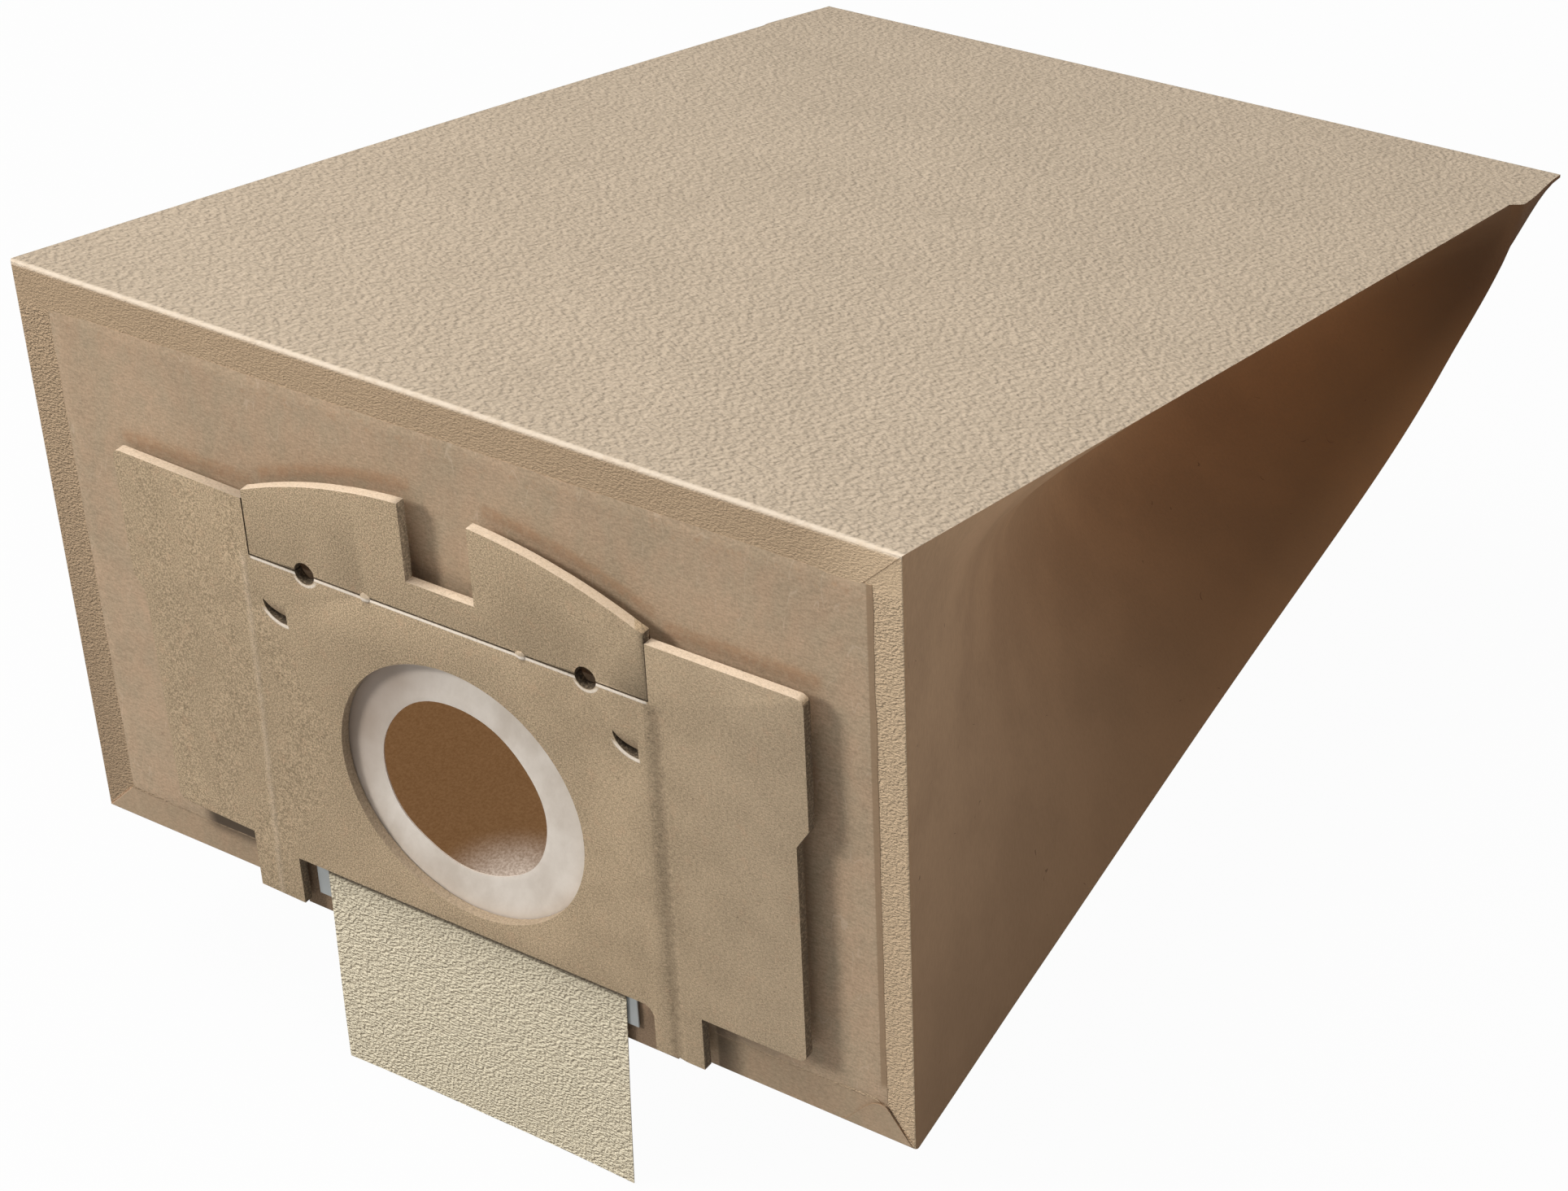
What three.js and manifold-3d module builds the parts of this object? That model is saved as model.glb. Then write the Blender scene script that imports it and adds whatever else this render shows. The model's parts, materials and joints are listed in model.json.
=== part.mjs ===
// A vacuum dust bag: a block-bottom kraft paper bag, opened out as a wedge, with a cardboard collar on its front.
//
// Millimetres, +X to the right as seen from the front, +Y into the bag, +Z up.
// The pieces are built round the centre of the inlet hole on the collar's front face.
// The finished group is then lowered, so that its origin lies on solid card just above the hole.
import * as THREE from "three";
import { LoftGeometry } from "three/addons/geometries/LoftGeometry.js";
import { mergeVertices } from "three/addons/utils/BufferGeometryUtils.js";
import Module from "manifold-3d";

const wasm = await Module();
wasm.setup();

// The layers, from the collar's front face back to the bag's paper
const FRONT_BOARD_THICK = 2;
const TONGUE_THICK = 0.25;
const MEMBRANE_THICK = 0.75;
const BACK_BOARD_THICK = 1.5;
const PATCH_THICK = 0.25;
const PAPER_THICK = 0.5;

const TONGUE_FRONT = FRONT_BOARD_THICK;
const MEMBRANE_FRONT = TONGUE_FRONT + TONGUE_THICK;
const BACK_BOARD_FRONT = MEMBRANE_FRONT + MEMBRANE_THICK;
const PATCH_FRONT = BACK_BOARD_FRONT + BACK_BOARD_THICK;
const BAG_FRONT = PATCH_FRONT + PATCH_THICK;

// The paper bag, as it stands opened out
const BAG_WIDTH = 190;
const BAG_HEIGHT = 124.2;
const BAG_DEPTH = 266;
const TAIL_HEIGHT = 67.2; // the tail's upper face above the bag's bottom edge
const TAIL_TWIST = 1.4; // its right end lies this much higher, and its left end lower
const TAIL_THICK = 2.5; // the plies of the flattened, folded tail
const TAIL_FOLD = 28; // how far the flattened tail reaches
const TAIL_LIP = 1.2; // the tail stands this far out past the sides
const LIP_RUN = 3;
const TOP_CROWN = 1.8; // how far the top panel bows up
const SIDE_BOW = 2.4; // how far the sides are drawn in towards the tail
const BOW_SETTLED = 0.8; // and the share of the body's length at which they are
const BELLY = 9; // how far the bottom panel sags near the tail
const BELLY_SHIFT = 3; // a higher power moves the sag back
const PLIES_MEET = 16; // the plies lie together this far before the tail
const FOLD_ROUND = 0.8; // the folds round the block bottom
const GUSSET_DEPTH = 45; // the side creases lie this far in at the most
const GUSSET_SHIFT = 1.3;
const CREASE_SHARE_FRONT = 0.1; // the side crease below the top fold, as a share of the height
const CREASE_SHARE_TAIL = 0.5;
const CREASE_SETTLED = 0.6; // it reaches the middle at this share of the length
const CREASE_SHARPNESS = 4;
const COLLAR_SHIFT = 3; // the collar is glued this far right of the bag's middle
const INLET_ABOVE_BAG_BOTTOM = 44;

// The sheet glued over the block bottom leaves a border of bag paper
const PATCH_MARGIN_LEFT = 8;
const PATCH_MARGIN_RIGHT = 5.8;
const PATCH_MARGIN_TOP = 7.6;
const PATCH_MARGIN_BOTTOM = 7.6;

// The collar's outline, from the centre of the inlet hole
const INLET_RADIUS = 27.4;
const WING_TOP = 49.2;
const WING_BOTTOM = -29.6;
const WING_UPPER_HALF = 75.4;
const WING_LOWER_HALF = 72.8;
const WING_STEP_HIGH = 22.4;
const WING_STEP_LOW = 18.2;
const WING_CORNER = 1.6;
const MIDDLE_BOTTOM = -31.6;
const FOOT_INNER = 40.9;
const FOOT_WIDTH_LEFT = 12.7;
const FOOT_WIDTH_RIGHT = 10.6;
const FOOT_DROP = 9.6; // the feet below the middle's lower edge
const FOOT_ROUND = 2.6;
const EAR_HALF = 43.7;
const EAR_END_TOP = 51;
const EAR_RISE = 9.3; // the arch above the ears' outer ends
const NOTCH_WIDTH = 15;
const NOTCH_SHIFT = 0.4;
const NOTCH_FLOOR = 44;

// Cuts in the collar
const TEAR_HEIGHT = 37.5;
const SLIT_WIDTH = 0.5;
const BRIDGE_PLACE = 17.1;
const BRIDGE_WIDTH = 2;
const TEAR_HOLE_PLACE = 30.9;
const TEAR_HOLE_RADIUS = 2.25;
const NICK_WIDTH = 5.2;
const NICK_HEIGHT = 4.2;
const NICK_TOP = 28.5;
const NICK_RIGHT_SIDES = [-36.8, 41];
const CREASE_PLACE = 44.3;
const CREASE_LEFT_SPREAD = 4.2; // the left crease runs outwards on its way down
const CREASE_WIDTH = 1.6;
const CREASE_CUT = 0.5;

// Behind the collar
const OPENING_RADIUS = 18.5; // the hole in the membrane that grips the pipe
const OPENING_SHIFT_X = -0.9;
const OPENING_SHIFT_Z = -1.3;
const OPENING_LIP = 0.25;
const LAYERS_TOP = 34.5; // the membrane and the back board end below the tear slit
const MEMBRANE_WIDTH = 75;
const MEMBRANE_SHIFT = -3;
const MEMBRANE_DROP = 9; // the membrane below the middle's lower edge
const BACK_BOARD_WIDTH = 83;
const BACK_BOARD_INSET = 1.1; // its lower edge above the middle's lower edge
const PASSAGE_RADIUS = 22; // the hole through the back board, the cover sheet and the bag
const TONGUE_WIDTH = 69.8;
const TONGUE_WIDTH_END = 68.8;
const TONGUE_SHIFT = -2;
const TONGUE_LEAN = -1.6; // its end hangs this far to the left
const TONGUE_DROP = 48.9; // the tongue below the middle's lower edge
const TONGUE_ROOT = 11.6; // and above it, on both sides of the hole
const TONGUE_CLEARANCE = 2.2;

// The origin's place above the inlet hole's centre
const ORIGIN_RISE = 32.5;

const ARC_STEPS = 24;
const CIRCLE_STEPS = 72;
const PANEL_STEPS = 8;
const CREASE_STEPS = 5;
const SIDE_STEPS = 8;
const LENGTH_STEPS = 18;
const OVERCUT = 1;

const COLORS = { kraft: 0xc4ab8b, cover: 0xab8f71, board: 0xa08b72, card: 0xccc0a8, membrane: 0xd0c8bc, back: 0x8f7a62 };

// A closed geometry as a solid that can be joined and cut
function solid(geometry) {
  const bare = new THREE.BufferGeometry();
  bare.setAttribute("position", geometry.getAttribute("position"));
  bare.setIndex(geometry.index);
  const merged = mergeVertices(bare, 1e-4);
  const vertProperties = new Float32Array(merged.attributes.position.array);
  const triVerts = new Uint32Array(merged.index.array);
  return new wasm.Manifold(new wasm.Mesh({ numProp: 3, vertProperties, triVerts }));
}

function geometryOf(made) {
  const mesh = made.getMesh();
  const geometry = new THREE.BufferGeometry();
  geometry.setAttribute("position", new THREE.BufferAttribute(mesh.vertProperties, 3));
  geometry.setIndex(new THREE.BufferAttribute(mesh.triVerts, 1));
  const flat = geometry.toNonIndexed();
  flat.computeVertexNormals();
  return flat;
}

function piece(name, made, color, roughness) {
  const material = new THREE.MeshStandardMaterial({ color, roughness, metalness: 0 });
  const mesh = new THREE.Mesh(geometryOf(made), material);
  mesh.name = name;
  return mesh;
}

// A flat sheet: the outline lies in X and Z, and the thickness runs back from front
function sheet(outline, front, thickness) {
  const geometry = new THREE.ExtrudeGeometry(outline, {
    depth: thickness,
    bevelEnabled: false,
    curveSegments: ARC_STEPS,
  });
  return solid(geometry.rotateX(Math.PI / 2).translate(0, front + thickness, 0));
}

function rectangle(left, right, bottom, top) {
  const outline = new THREE.Shape();
  outline.moveTo(left, bottom).lineTo(right, bottom).lineTo(right, top).lineTo(left, top).closePath();
  return outline;
}

// A round cutter through everything between two depths
function roundCut(x, z, radius, front, back) {
  const height = back - front + 2 * OVERCUT;
  const geometry = new THREE.CylinderGeometry(radius, radius, height, CIRCLE_STEPS);
  return solid(geometry.translate(x, (front + back) / 2, z));
}

// The top and bottom panels' heights above the bag's bottom edge, at a distance from the front
const bodyLength = BAG_DEPTH - TAIL_FOLD;

function topAt(y) {
  const along = y / BAG_DEPTH;
  return BAG_HEIGHT + (TAIL_HEIGHT - BAG_HEIGHT) * along + TOP_CROWN * Math.sin(Math.PI * along);
}

function bottomAt(y) {
  if (y >= bodyLength) return topAt(y) - TAIL_THICK;
  const along = y / bodyLength;
  const sag = BELLY * Math.sin(Math.PI * along ** BELLY_SHIFT);
  return (topAt(bodyLength) - TAIL_THICK) * along - sag;
}

// The side crease's place, as a share of the height from the top fold down
function creaseAt(y) {
  const settled = THREE.MathUtils.smoothstep(y, 0, bodyLength * CREASE_SETTLED);
  return THREE.MathUtils.lerp(CREASE_SHARE_FRONT, CREASE_SHARE_TAIL, settled);
}

// How far in the side paper lies at such a share
function gussetAt(y, share) {
  if (y >= bodyLength || share <= 0 || share >= 1) return 0;
  const depth = GUSSET_DEPTH * Math.sin(Math.PI * (y / bodyLength) ** GUSSET_SHIFT);
  const crease = creaseAt(y);
  const above = (share / crease) ** -CREASE_SHARPNESS;
  const below = ((1 - share) / (1 - crease)) ** -CREASE_SHARPNESS;
  return depth * (above + below) ** (-1 / CREASE_SHARPNESS);
}

// The heights at which one side is drawn, with the crease always at the same one of them
function sideShares(y) {
  const crease = creaseAt(y);
  const shares = [];
  for (let i = 0; i < CREASE_STEPS; i++) shares.push((crease * i) / CREASE_STEPS);
  for (let i = 0; i < SIDE_STEPS; i++) shares.push(crease + ((1 - crease) * i) / SIDE_STEPS);
  return shares;
}

// Half the bag's width at a distance from the front
function halfWidthAt(y) {
  const drawnIn = SIDE_BOW * THREE.MathUtils.smoothstep(y, 0, bodyLength * BOW_SETTLED);
  return BAG_WIDTH / 2 - drawnIn + TAIL_LIP * THREE.MathUtils.smoothstep(y, bodyLength, bodyLength + LIP_RUN);
}

// One cross-section of the bag's outside, drawn in evenly by the rounding of the front folds
function bagSection(y, rounding) {
  const half = halfWidthAt(y) - rounding;
  const top = topAt(y) - rounding;
  const bottom = bottomAt(y) + rounding;
  const points = [];
  const twist = (TAIL_TWIST * y) / BAG_DEPTH / half;
  const add = (x, z) => points.push(new THREE.Vector3(x, y, z + twist * x));
  for (let i = 0; i < PANEL_STEPS; i++) add(-half + (2 * half * i) / PANEL_STEPS, top);
  const shares = sideShares(y);
  for (const share of shares) add(half - gussetAt(y, share), top + (bottom - top) * share);
  for (let i = 0; i < PANEL_STEPS; i++) add(half - (2 * half * i) / PANEL_STEPS, bottom);
  for (const share of [1, ...shares.slice(1).reverse()]) {
    add(-half + gussetAt(y, share), top + (bottom - top) * share);
  }
  return points;
}

// The same section one wall further in: each corner moves along the middle of its two sides' normals
function wallInside(section, wall) {
  return section.map((point, i) => {
    const before = section[(i + section.length - 1) % section.length];
    const after = section[(i + 1) % section.length];
    const first = new THREE.Vector2(point.x - before.x, point.z - before.z).normalize();
    const second = new THREE.Vector2(after.x - point.x, after.z - point.z).normalize();
    const inward = new THREE.Vector2(first.y + second.y, -first.x - second.x).normalize();
    const reach = wall / (inward.x * first.y - inward.y * first.x);
    return new THREE.Vector3(point.x + inward.x * reach, point.y, point.z + inward.y * reach);
  });
}

function paperBag() {
  const outer = [];
  for (const angle of [0, 30, 60, 90]) {
    const turn = THREE.MathUtils.degToRad(angle);
    outer.push(bagSection(FOLD_ROUND * (1 - Math.cos(turn)), FOLD_ROUND * (1 - Math.sin(turn))));
  }
  for (let i = 1; i <= LENGTH_STEPS; i++) {
    outer.push(bagSection(FOLD_ROUND + ((bodyLength - FOLD_ROUND) * i) / LENGTH_STEPS, 0));
  }
  outer.push(bagSection(bodyLength + LIP_RUN, 0), bagSection(BAG_DEPTH, 0));
  const inner = [];
  for (let i = 0; i <= LENGTH_STEPS; i++) {
    const y = PAPER_THICK + ((bodyLength - PLIES_MEET - PAPER_THICK) * i) / LENGTH_STEPS;
    inner.push(wallInside(bagSection(y, 0), PAPER_THICK));
  }
  const caps = { capStart: true, capEnd: true };
  const shell = solid(new LoftGeometry(outer, caps)).subtract(solid(new LoftGeometry(inner, caps)));
  const placed = shell.translate(-COLLAR_SHIFT, BAG_FRONT, -INLET_ABOVE_BAG_BOTTOM);
  return placed.subtract(passage(BAG_FRONT, BAG_FRONT + PAPER_THICK));
}

// The hole through all that lies behind the membrane
function passage(front, back) {
  return roundCut(OPENING_SHIFT_X, OPENING_SHIFT_Z, PASSAGE_RADIUS, front, back);
}

function coverPatch() {
  const half = BAG_WIDTH / 2;
  const outline = rectangle(
    -half + PATCH_MARGIN_LEFT - COLLAR_SHIFT,
    half - PATCH_MARGIN_RIGHT - COLLAR_SHIFT,
    PATCH_MARGIN_BOTTOM - INLET_ABOVE_BAG_BOTTOM,
    BAG_HEIGHT - PATCH_MARGIN_TOP - INLET_ABOVE_BAG_BOTTOM,
  );
  return sheet(outline, PATCH_FRONT, PATCH_THICK).subtract(passage(PATCH_FRONT, BAG_FRONT));
}

function backBoard() {
  const half = BACK_BOARD_WIDTH / 2;
  const outline = rectangle(-half, half, MIDDLE_BOTTOM + BACK_BOARD_INSET, LAYERS_TOP);
  return sheet(outline, BACK_BOARD_FRONT, BACK_BOARD_THICK).subtract(passage(BACK_BOARD_FRONT, PATCH_FRONT));
}

function sealMembrane() {
  const left = MEMBRANE_SHIFT - MEMBRANE_WIDTH / 2;
  const outline = rectangle(left, left + MEMBRANE_WIDTH, MIDDLE_BOTTOM - MEMBRANE_DROP, LAYERS_TOP);
  const flat = sheet(outline, MEMBRANE_FRONT, MEMBRANE_THICK);
  const back = MEMBRANE_FRONT + MEMBRANE_THICK;
  const wide = OPENING_RADIUS + OPENING_LIP;
  const profile = [
    new THREE.Vector2(0, MEMBRANE_FRONT - OVERCUT),
    new THREE.Vector2(wide, MEMBRANE_FRONT - OVERCUT),
    new THREE.Vector2(wide, MEMBRANE_FRONT),
    new THREE.Vector2(OPENING_RADIUS, MEMBRANE_FRONT + OPENING_LIP),
    new THREE.Vector2(OPENING_RADIUS, back - OPENING_LIP),
    new THREE.Vector2(wide, back),
    new THREE.Vector2(wide, back + OVERCUT),
    new THREE.Vector2(0, back + OVERCUT),
  ];
  const cutter = new THREE.LatheGeometry(profile, CIRCLE_STEPS).translate(OPENING_SHIFT_X, 0, OPENING_SHIFT_Z);
  return flat.subtract(solid(cutter));
}

function paperTongue() {
  const end = TONGUE_SHIFT + TONGUE_LEAN;
  const outline = new THREE.Shape();
  outline.moveTo(end - TONGUE_WIDTH_END / 2, MIDDLE_BOTTOM - TONGUE_DROP);
  outline.lineTo(end + TONGUE_WIDTH_END / 2, MIDDLE_BOTTOM - TONGUE_DROP);
  outline.lineTo(TONGUE_SHIFT + TONGUE_WIDTH / 2, MIDDLE_BOTTOM + TONGUE_ROOT);
  outline.lineTo(TONGUE_SHIFT - TONGUE_WIDTH / 2, MIDDLE_BOTTOM + TONGUE_ROOT);
  outline.closePath();
  const cut = roundCut(0, 0, INLET_RADIUS + TONGUE_CLEARANCE, TONGUE_FRONT, MEMBRANE_FRONT);
  return sheet(outline, TONGUE_FRONT, TONGUE_THICK).subtract(cut);
}

// The collar's outline, anticlockwise from the middle's lower edge
function collarOutline() {
  const outline = new THREE.Shape();
  const footBottom = MIDDLE_BOTTOM - FOOT_DROP;
  const rightFoot = FOOT_INNER + FOOT_WIDTH_RIGHT;
  const leftFoot = -FOOT_INNER - FOOT_WIDTH_LEFT;
  const archRadius = (EAR_HALF ** 2 + EAR_RISE ** 2) / (2 * EAR_RISE);
  const archCentre = EAR_END_TOP + EAR_RISE - archRadius;
  const notchRight = NOTCH_SHIFT + NOTCH_WIDTH / 2;
  const notchLeft = NOTCH_SHIFT - NOTCH_WIDTH / 2;
  const onArch = (x) => Math.acos(x / archRadius);
  outline.moveTo(-FOOT_INNER, MIDDLE_BOTTOM);
  outline.lineTo(FOOT_INNER - FOOT_ROUND, MIDDLE_BOTTOM);
  outline.absarc(FOOT_INNER - FOOT_ROUND, MIDDLE_BOTTOM - FOOT_ROUND, FOOT_ROUND, Math.PI / 2, 0, true);
  outline.lineTo(FOOT_INNER, footBottom);
  outline.lineTo(rightFoot, footBottom);
  outline.lineTo(rightFoot, WING_BOTTOM);
  outline.lineTo(WING_LOWER_HALF - WING_CORNER, WING_BOTTOM);
  outline.absarc(WING_LOWER_HALF - WING_CORNER, WING_BOTTOM + WING_CORNER, WING_CORNER, -Math.PI / 2, 0);
  outline.lineTo(WING_LOWER_HALF, WING_STEP_LOW);
  outline.lineTo(WING_UPPER_HALF, WING_STEP_HIGH);
  outline.lineTo(WING_UPPER_HALF, WING_TOP - WING_CORNER);
  outline.absarc(WING_UPPER_HALF - WING_CORNER, WING_TOP - WING_CORNER, WING_CORNER, 0, Math.PI / 2);
  outline.lineTo(EAR_HALF, WING_TOP);
  outline.lineTo(EAR_HALF, EAR_END_TOP);
  outline.absarc(0, archCentre, archRadius, onArch(EAR_HALF), onArch(notchRight));
  outline.lineTo(notchRight, NOTCH_FLOOR);
  outline.lineTo(notchLeft, NOTCH_FLOOR);
  outline.absarc(0, archCentre, archRadius, onArch(notchLeft), onArch(-EAR_HALF));
  outline.lineTo(-EAR_HALF, WING_TOP);
  outline.lineTo(-WING_UPPER_HALF + WING_CORNER, WING_TOP);
  outline.absarc(-WING_UPPER_HALF + WING_CORNER, WING_TOP - WING_CORNER, WING_CORNER, Math.PI / 2, Math.PI);
  outline.lineTo(-WING_UPPER_HALF, WING_STEP_HIGH);
  outline.lineTo(-WING_LOWER_HALF, WING_STEP_LOW);
  outline.lineTo(-WING_LOWER_HALF, WING_BOTTOM + WING_CORNER);
  outline.absarc(-WING_LOWER_HALF + WING_CORNER, WING_BOTTOM + WING_CORNER, WING_CORNER, Math.PI, 1.5 * Math.PI);
  outline.lineTo(leftFoot, WING_BOTTOM);
  outline.lineTo(leftFoot, footBottom);
  outline.lineTo(-FOOT_INNER, footBottom);
  outline.closePath();
  return outline;
}

// A straight cutter through the collar between two corners
function slit(left, right, bottom, top) {
  return sheet(rectangle(left, right, bottom, top), -OVERCUT, FRONT_BOARD_THICK + 2 * OVERCUT);
}

// The tear slit runs round three sides of the ears tab and stops at the two bridges
function tearSlits() {
  const half = SLIT_WIDTH / 2;
  const reach = BRIDGE_WIDTH / 2;
  const above = EAR_END_TOP + EAR_RISE;
  const level = (from, to) => slit(from, to, TEAR_HEIGHT - half, TEAR_HEIGHT + half);
  return [
    slit(-EAR_HALF - half, -EAR_HALF + half, TEAR_HEIGHT - half, above),
    slit(EAR_HALF - half, EAR_HALF + half, TEAR_HEIGHT - half, above),
    level(-EAR_HALF, -BRIDGE_PLACE - reach),
    level(-BRIDGE_PLACE + reach, BRIDGE_PLACE - reach),
    level(BRIDGE_PLACE + reach, EAR_HALF),
  ];
}

// A quarter moon with an upright right side and a level top
function nick(rightSide) {
  const outline = new THREE.Shape();
  outline.moveTo(rightSide, NICK_TOP);
  outline.lineTo(rightSide - NICK_WIDTH, NICK_TOP);
  outline.absellipse(rightSide, NICK_TOP, NICK_WIDTH, NICK_HEIGHT, Math.PI, 1.5 * Math.PI);
  outline.closePath();
  return sheet(outline, -OVERCUT, FRONT_BOARD_THICK + 2 * OVERCUT);
}

// A V-shaped score line from a point below the tear slit down through a foot
function scoreLine(side, spread, face) {
  const top = new THREE.Vector2(side * CREASE_PLACE, TEAR_HEIGHT - SLIT_WIDTH);
  const bottom = new THREE.Vector2(side * (CREASE_PLACE + spread), MIDDLE_BOTTOM - FOOT_DROP - OVERCUT);
  const length = top.distanceTo(bottom);
  const ridge = new THREE.Shape();
  ridge.moveTo(-CREASE_WIDTH / 2, 0).lineTo(CREASE_WIDTH / 2, 0).lineTo(0, CREASE_CUT).closePath();
  const geometry = new THREE.ExtrudeGeometry(ridge, { depth: length, bevelEnabled: false });
  if (face > 0) geometry.rotateZ(Math.PI).translate(0, FRONT_BOARD_THICK, 0);
  geometry.rotateY(Math.atan2(top.x - bottom.x, top.y - bottom.y));
  return solid(geometry.translate(bottom.x, 0, bottom.y));
}

function frontBoard() {
  const cuts = [
    roundCut(0, 0, INLET_RADIUS, 0, FRONT_BOARD_THICK),
    roundCut(-TEAR_HOLE_PLACE, TEAR_HEIGHT, TEAR_HOLE_RADIUS, 0, FRONT_BOARD_THICK),
    roundCut(TEAR_HOLE_PLACE, TEAR_HEIGHT, TEAR_HOLE_RADIUS, 0, FRONT_BOARD_THICK),
    scoreLine(-1, CREASE_LEFT_SPREAD, 1),
    scoreLine(1, 0, -1),
    ...tearSlits(),
    ...NICK_RIGHT_SIDES.map(nick),
  ];
  return cuts.reduce((board, cut) => board.subtract(cut), sheet(collarOutline(), 0, FRONT_BOARD_THICK));
}

const collar = new THREE.Group();
collar.add(
  piece("front_board", frontBoard(), COLORS.board, 0.9),
  piece("paper_tongue", paperTongue(), COLORS.card, 0.85),
  piece("seal_membrane", sealMembrane(), COLORS.membrane, 0.45),
  piece("back_board", backBoard(), COLORS.back, 0.9),
);

const bag = new THREE.Group();
bag.add(piece("cover_patch", coverPatch(), COLORS.cover, 0.85), piece("paper_bag", paperBag(), COLORS.kraft, 0.9));

const dustBag = new THREE.Group();
dustBag.add(collar, bag);
dustBag.position.z = -ORIGIN_RISE;

export default dustBag;
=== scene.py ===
"""A vacuum dust bag: folded kraft paper, a die-cut collar, a pale seal and a paper tongue.

X runs to the right as seen from the front, Y into the bag and Z up, from the point on the collar's front
face that the frame has as its origin. The folded bag's own shape is worked out from its lower front edge.
Sizes are written in millimetres and turned into metres where a mesh is made.
"""

import json
import logging
import math
from dataclasses import dataclass
from enum import Enum
from typing import Any, Callable, Sequence

import bmesh
import bpy
from mathutils import Euler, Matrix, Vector, noise

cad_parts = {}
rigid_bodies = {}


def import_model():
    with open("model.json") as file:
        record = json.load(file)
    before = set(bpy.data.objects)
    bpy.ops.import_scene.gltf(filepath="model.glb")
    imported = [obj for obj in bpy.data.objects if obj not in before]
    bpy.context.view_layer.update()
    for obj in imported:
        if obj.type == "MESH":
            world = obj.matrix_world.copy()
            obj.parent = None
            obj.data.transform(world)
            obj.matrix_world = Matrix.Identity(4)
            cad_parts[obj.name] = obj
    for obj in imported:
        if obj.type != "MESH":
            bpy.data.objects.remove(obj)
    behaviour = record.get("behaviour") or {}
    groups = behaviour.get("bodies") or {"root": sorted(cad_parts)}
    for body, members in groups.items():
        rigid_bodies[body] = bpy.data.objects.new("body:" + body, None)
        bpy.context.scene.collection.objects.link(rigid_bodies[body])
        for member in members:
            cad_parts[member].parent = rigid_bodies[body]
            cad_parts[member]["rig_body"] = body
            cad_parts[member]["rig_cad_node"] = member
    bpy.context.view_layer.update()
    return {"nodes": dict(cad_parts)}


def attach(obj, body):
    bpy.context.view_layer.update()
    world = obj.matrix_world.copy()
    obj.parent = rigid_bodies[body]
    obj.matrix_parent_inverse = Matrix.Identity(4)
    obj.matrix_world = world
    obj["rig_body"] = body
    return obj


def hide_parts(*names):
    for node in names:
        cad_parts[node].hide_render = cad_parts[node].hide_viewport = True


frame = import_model()

MM = 0.001
log = logging.getLogger("dust_bag")

Color = tuple[float, float, float]


# Shader expressions


class Value:
    """A shader socket that takes part in Python expressions."""

    def __init__(self, paint: "Paint", socket: bpy.types.NodeSocket) -> None:
        """Wraps one output socket of a material's tree."""
        self.paint = paint
        self.socket = socket

    def _math(self, operation: str, first: Any, second: Any) -> "Value":
        """Adds one Math node for two values."""
        return self.paint.node("ShaderNodeMath", {"operation": operation}, {0: first, 1: second})

    def __add__(self, other: Any) -> "Value":
        """Sum."""
        return self._math("ADD", self, other)

    def __radd__(self, other: Any) -> "Value":
        """Sum, with the number first."""
        return self._math("ADD", other, self)

    def __sub__(self, other: Any) -> "Value":
        """Difference."""
        return self._math("SUBTRACT", self, other)

    def __rsub__(self, other: Any) -> "Value":
        """Difference, with the number first."""
        return self._math("SUBTRACT", other, self)

    def __mul__(self, other: Any) -> "Value":
        """Product."""
        return self._math("MULTIPLY", self, other)

    def __rmul__(self, other: Any) -> "Value":
        """Product, with the number first."""
        return self._math("MULTIPLY", other, self)

    def __abs__(self) -> "Value":
        """Size without its sign."""
        return self._math("ABSOLUTE", self, 0.0)

    def __pow__(self, other: Any) -> "Value":
        """Power."""
        return self._math("POWER", self, other)

    def most(self, other: Any) -> "Value":
        """The larger of two values."""
        return self._math("MAXIMUM", self, other)

    def rise(self, low: float, high: float) -> "Value":
        """A smooth step.

        Args:
            low: the value up to which the step is 0.
            high: the value from which the step is 1.

        Returns:
            The step between 0 and 1.
        """
        settings = {"interpolation_type": "SMOOTHSTEP", "clamp": True}
        inputs = {"Value": self, "From Min": low, "From Max": high}
        return self.paint.node("ShaderNodeMapRange", settings, inputs)


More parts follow.
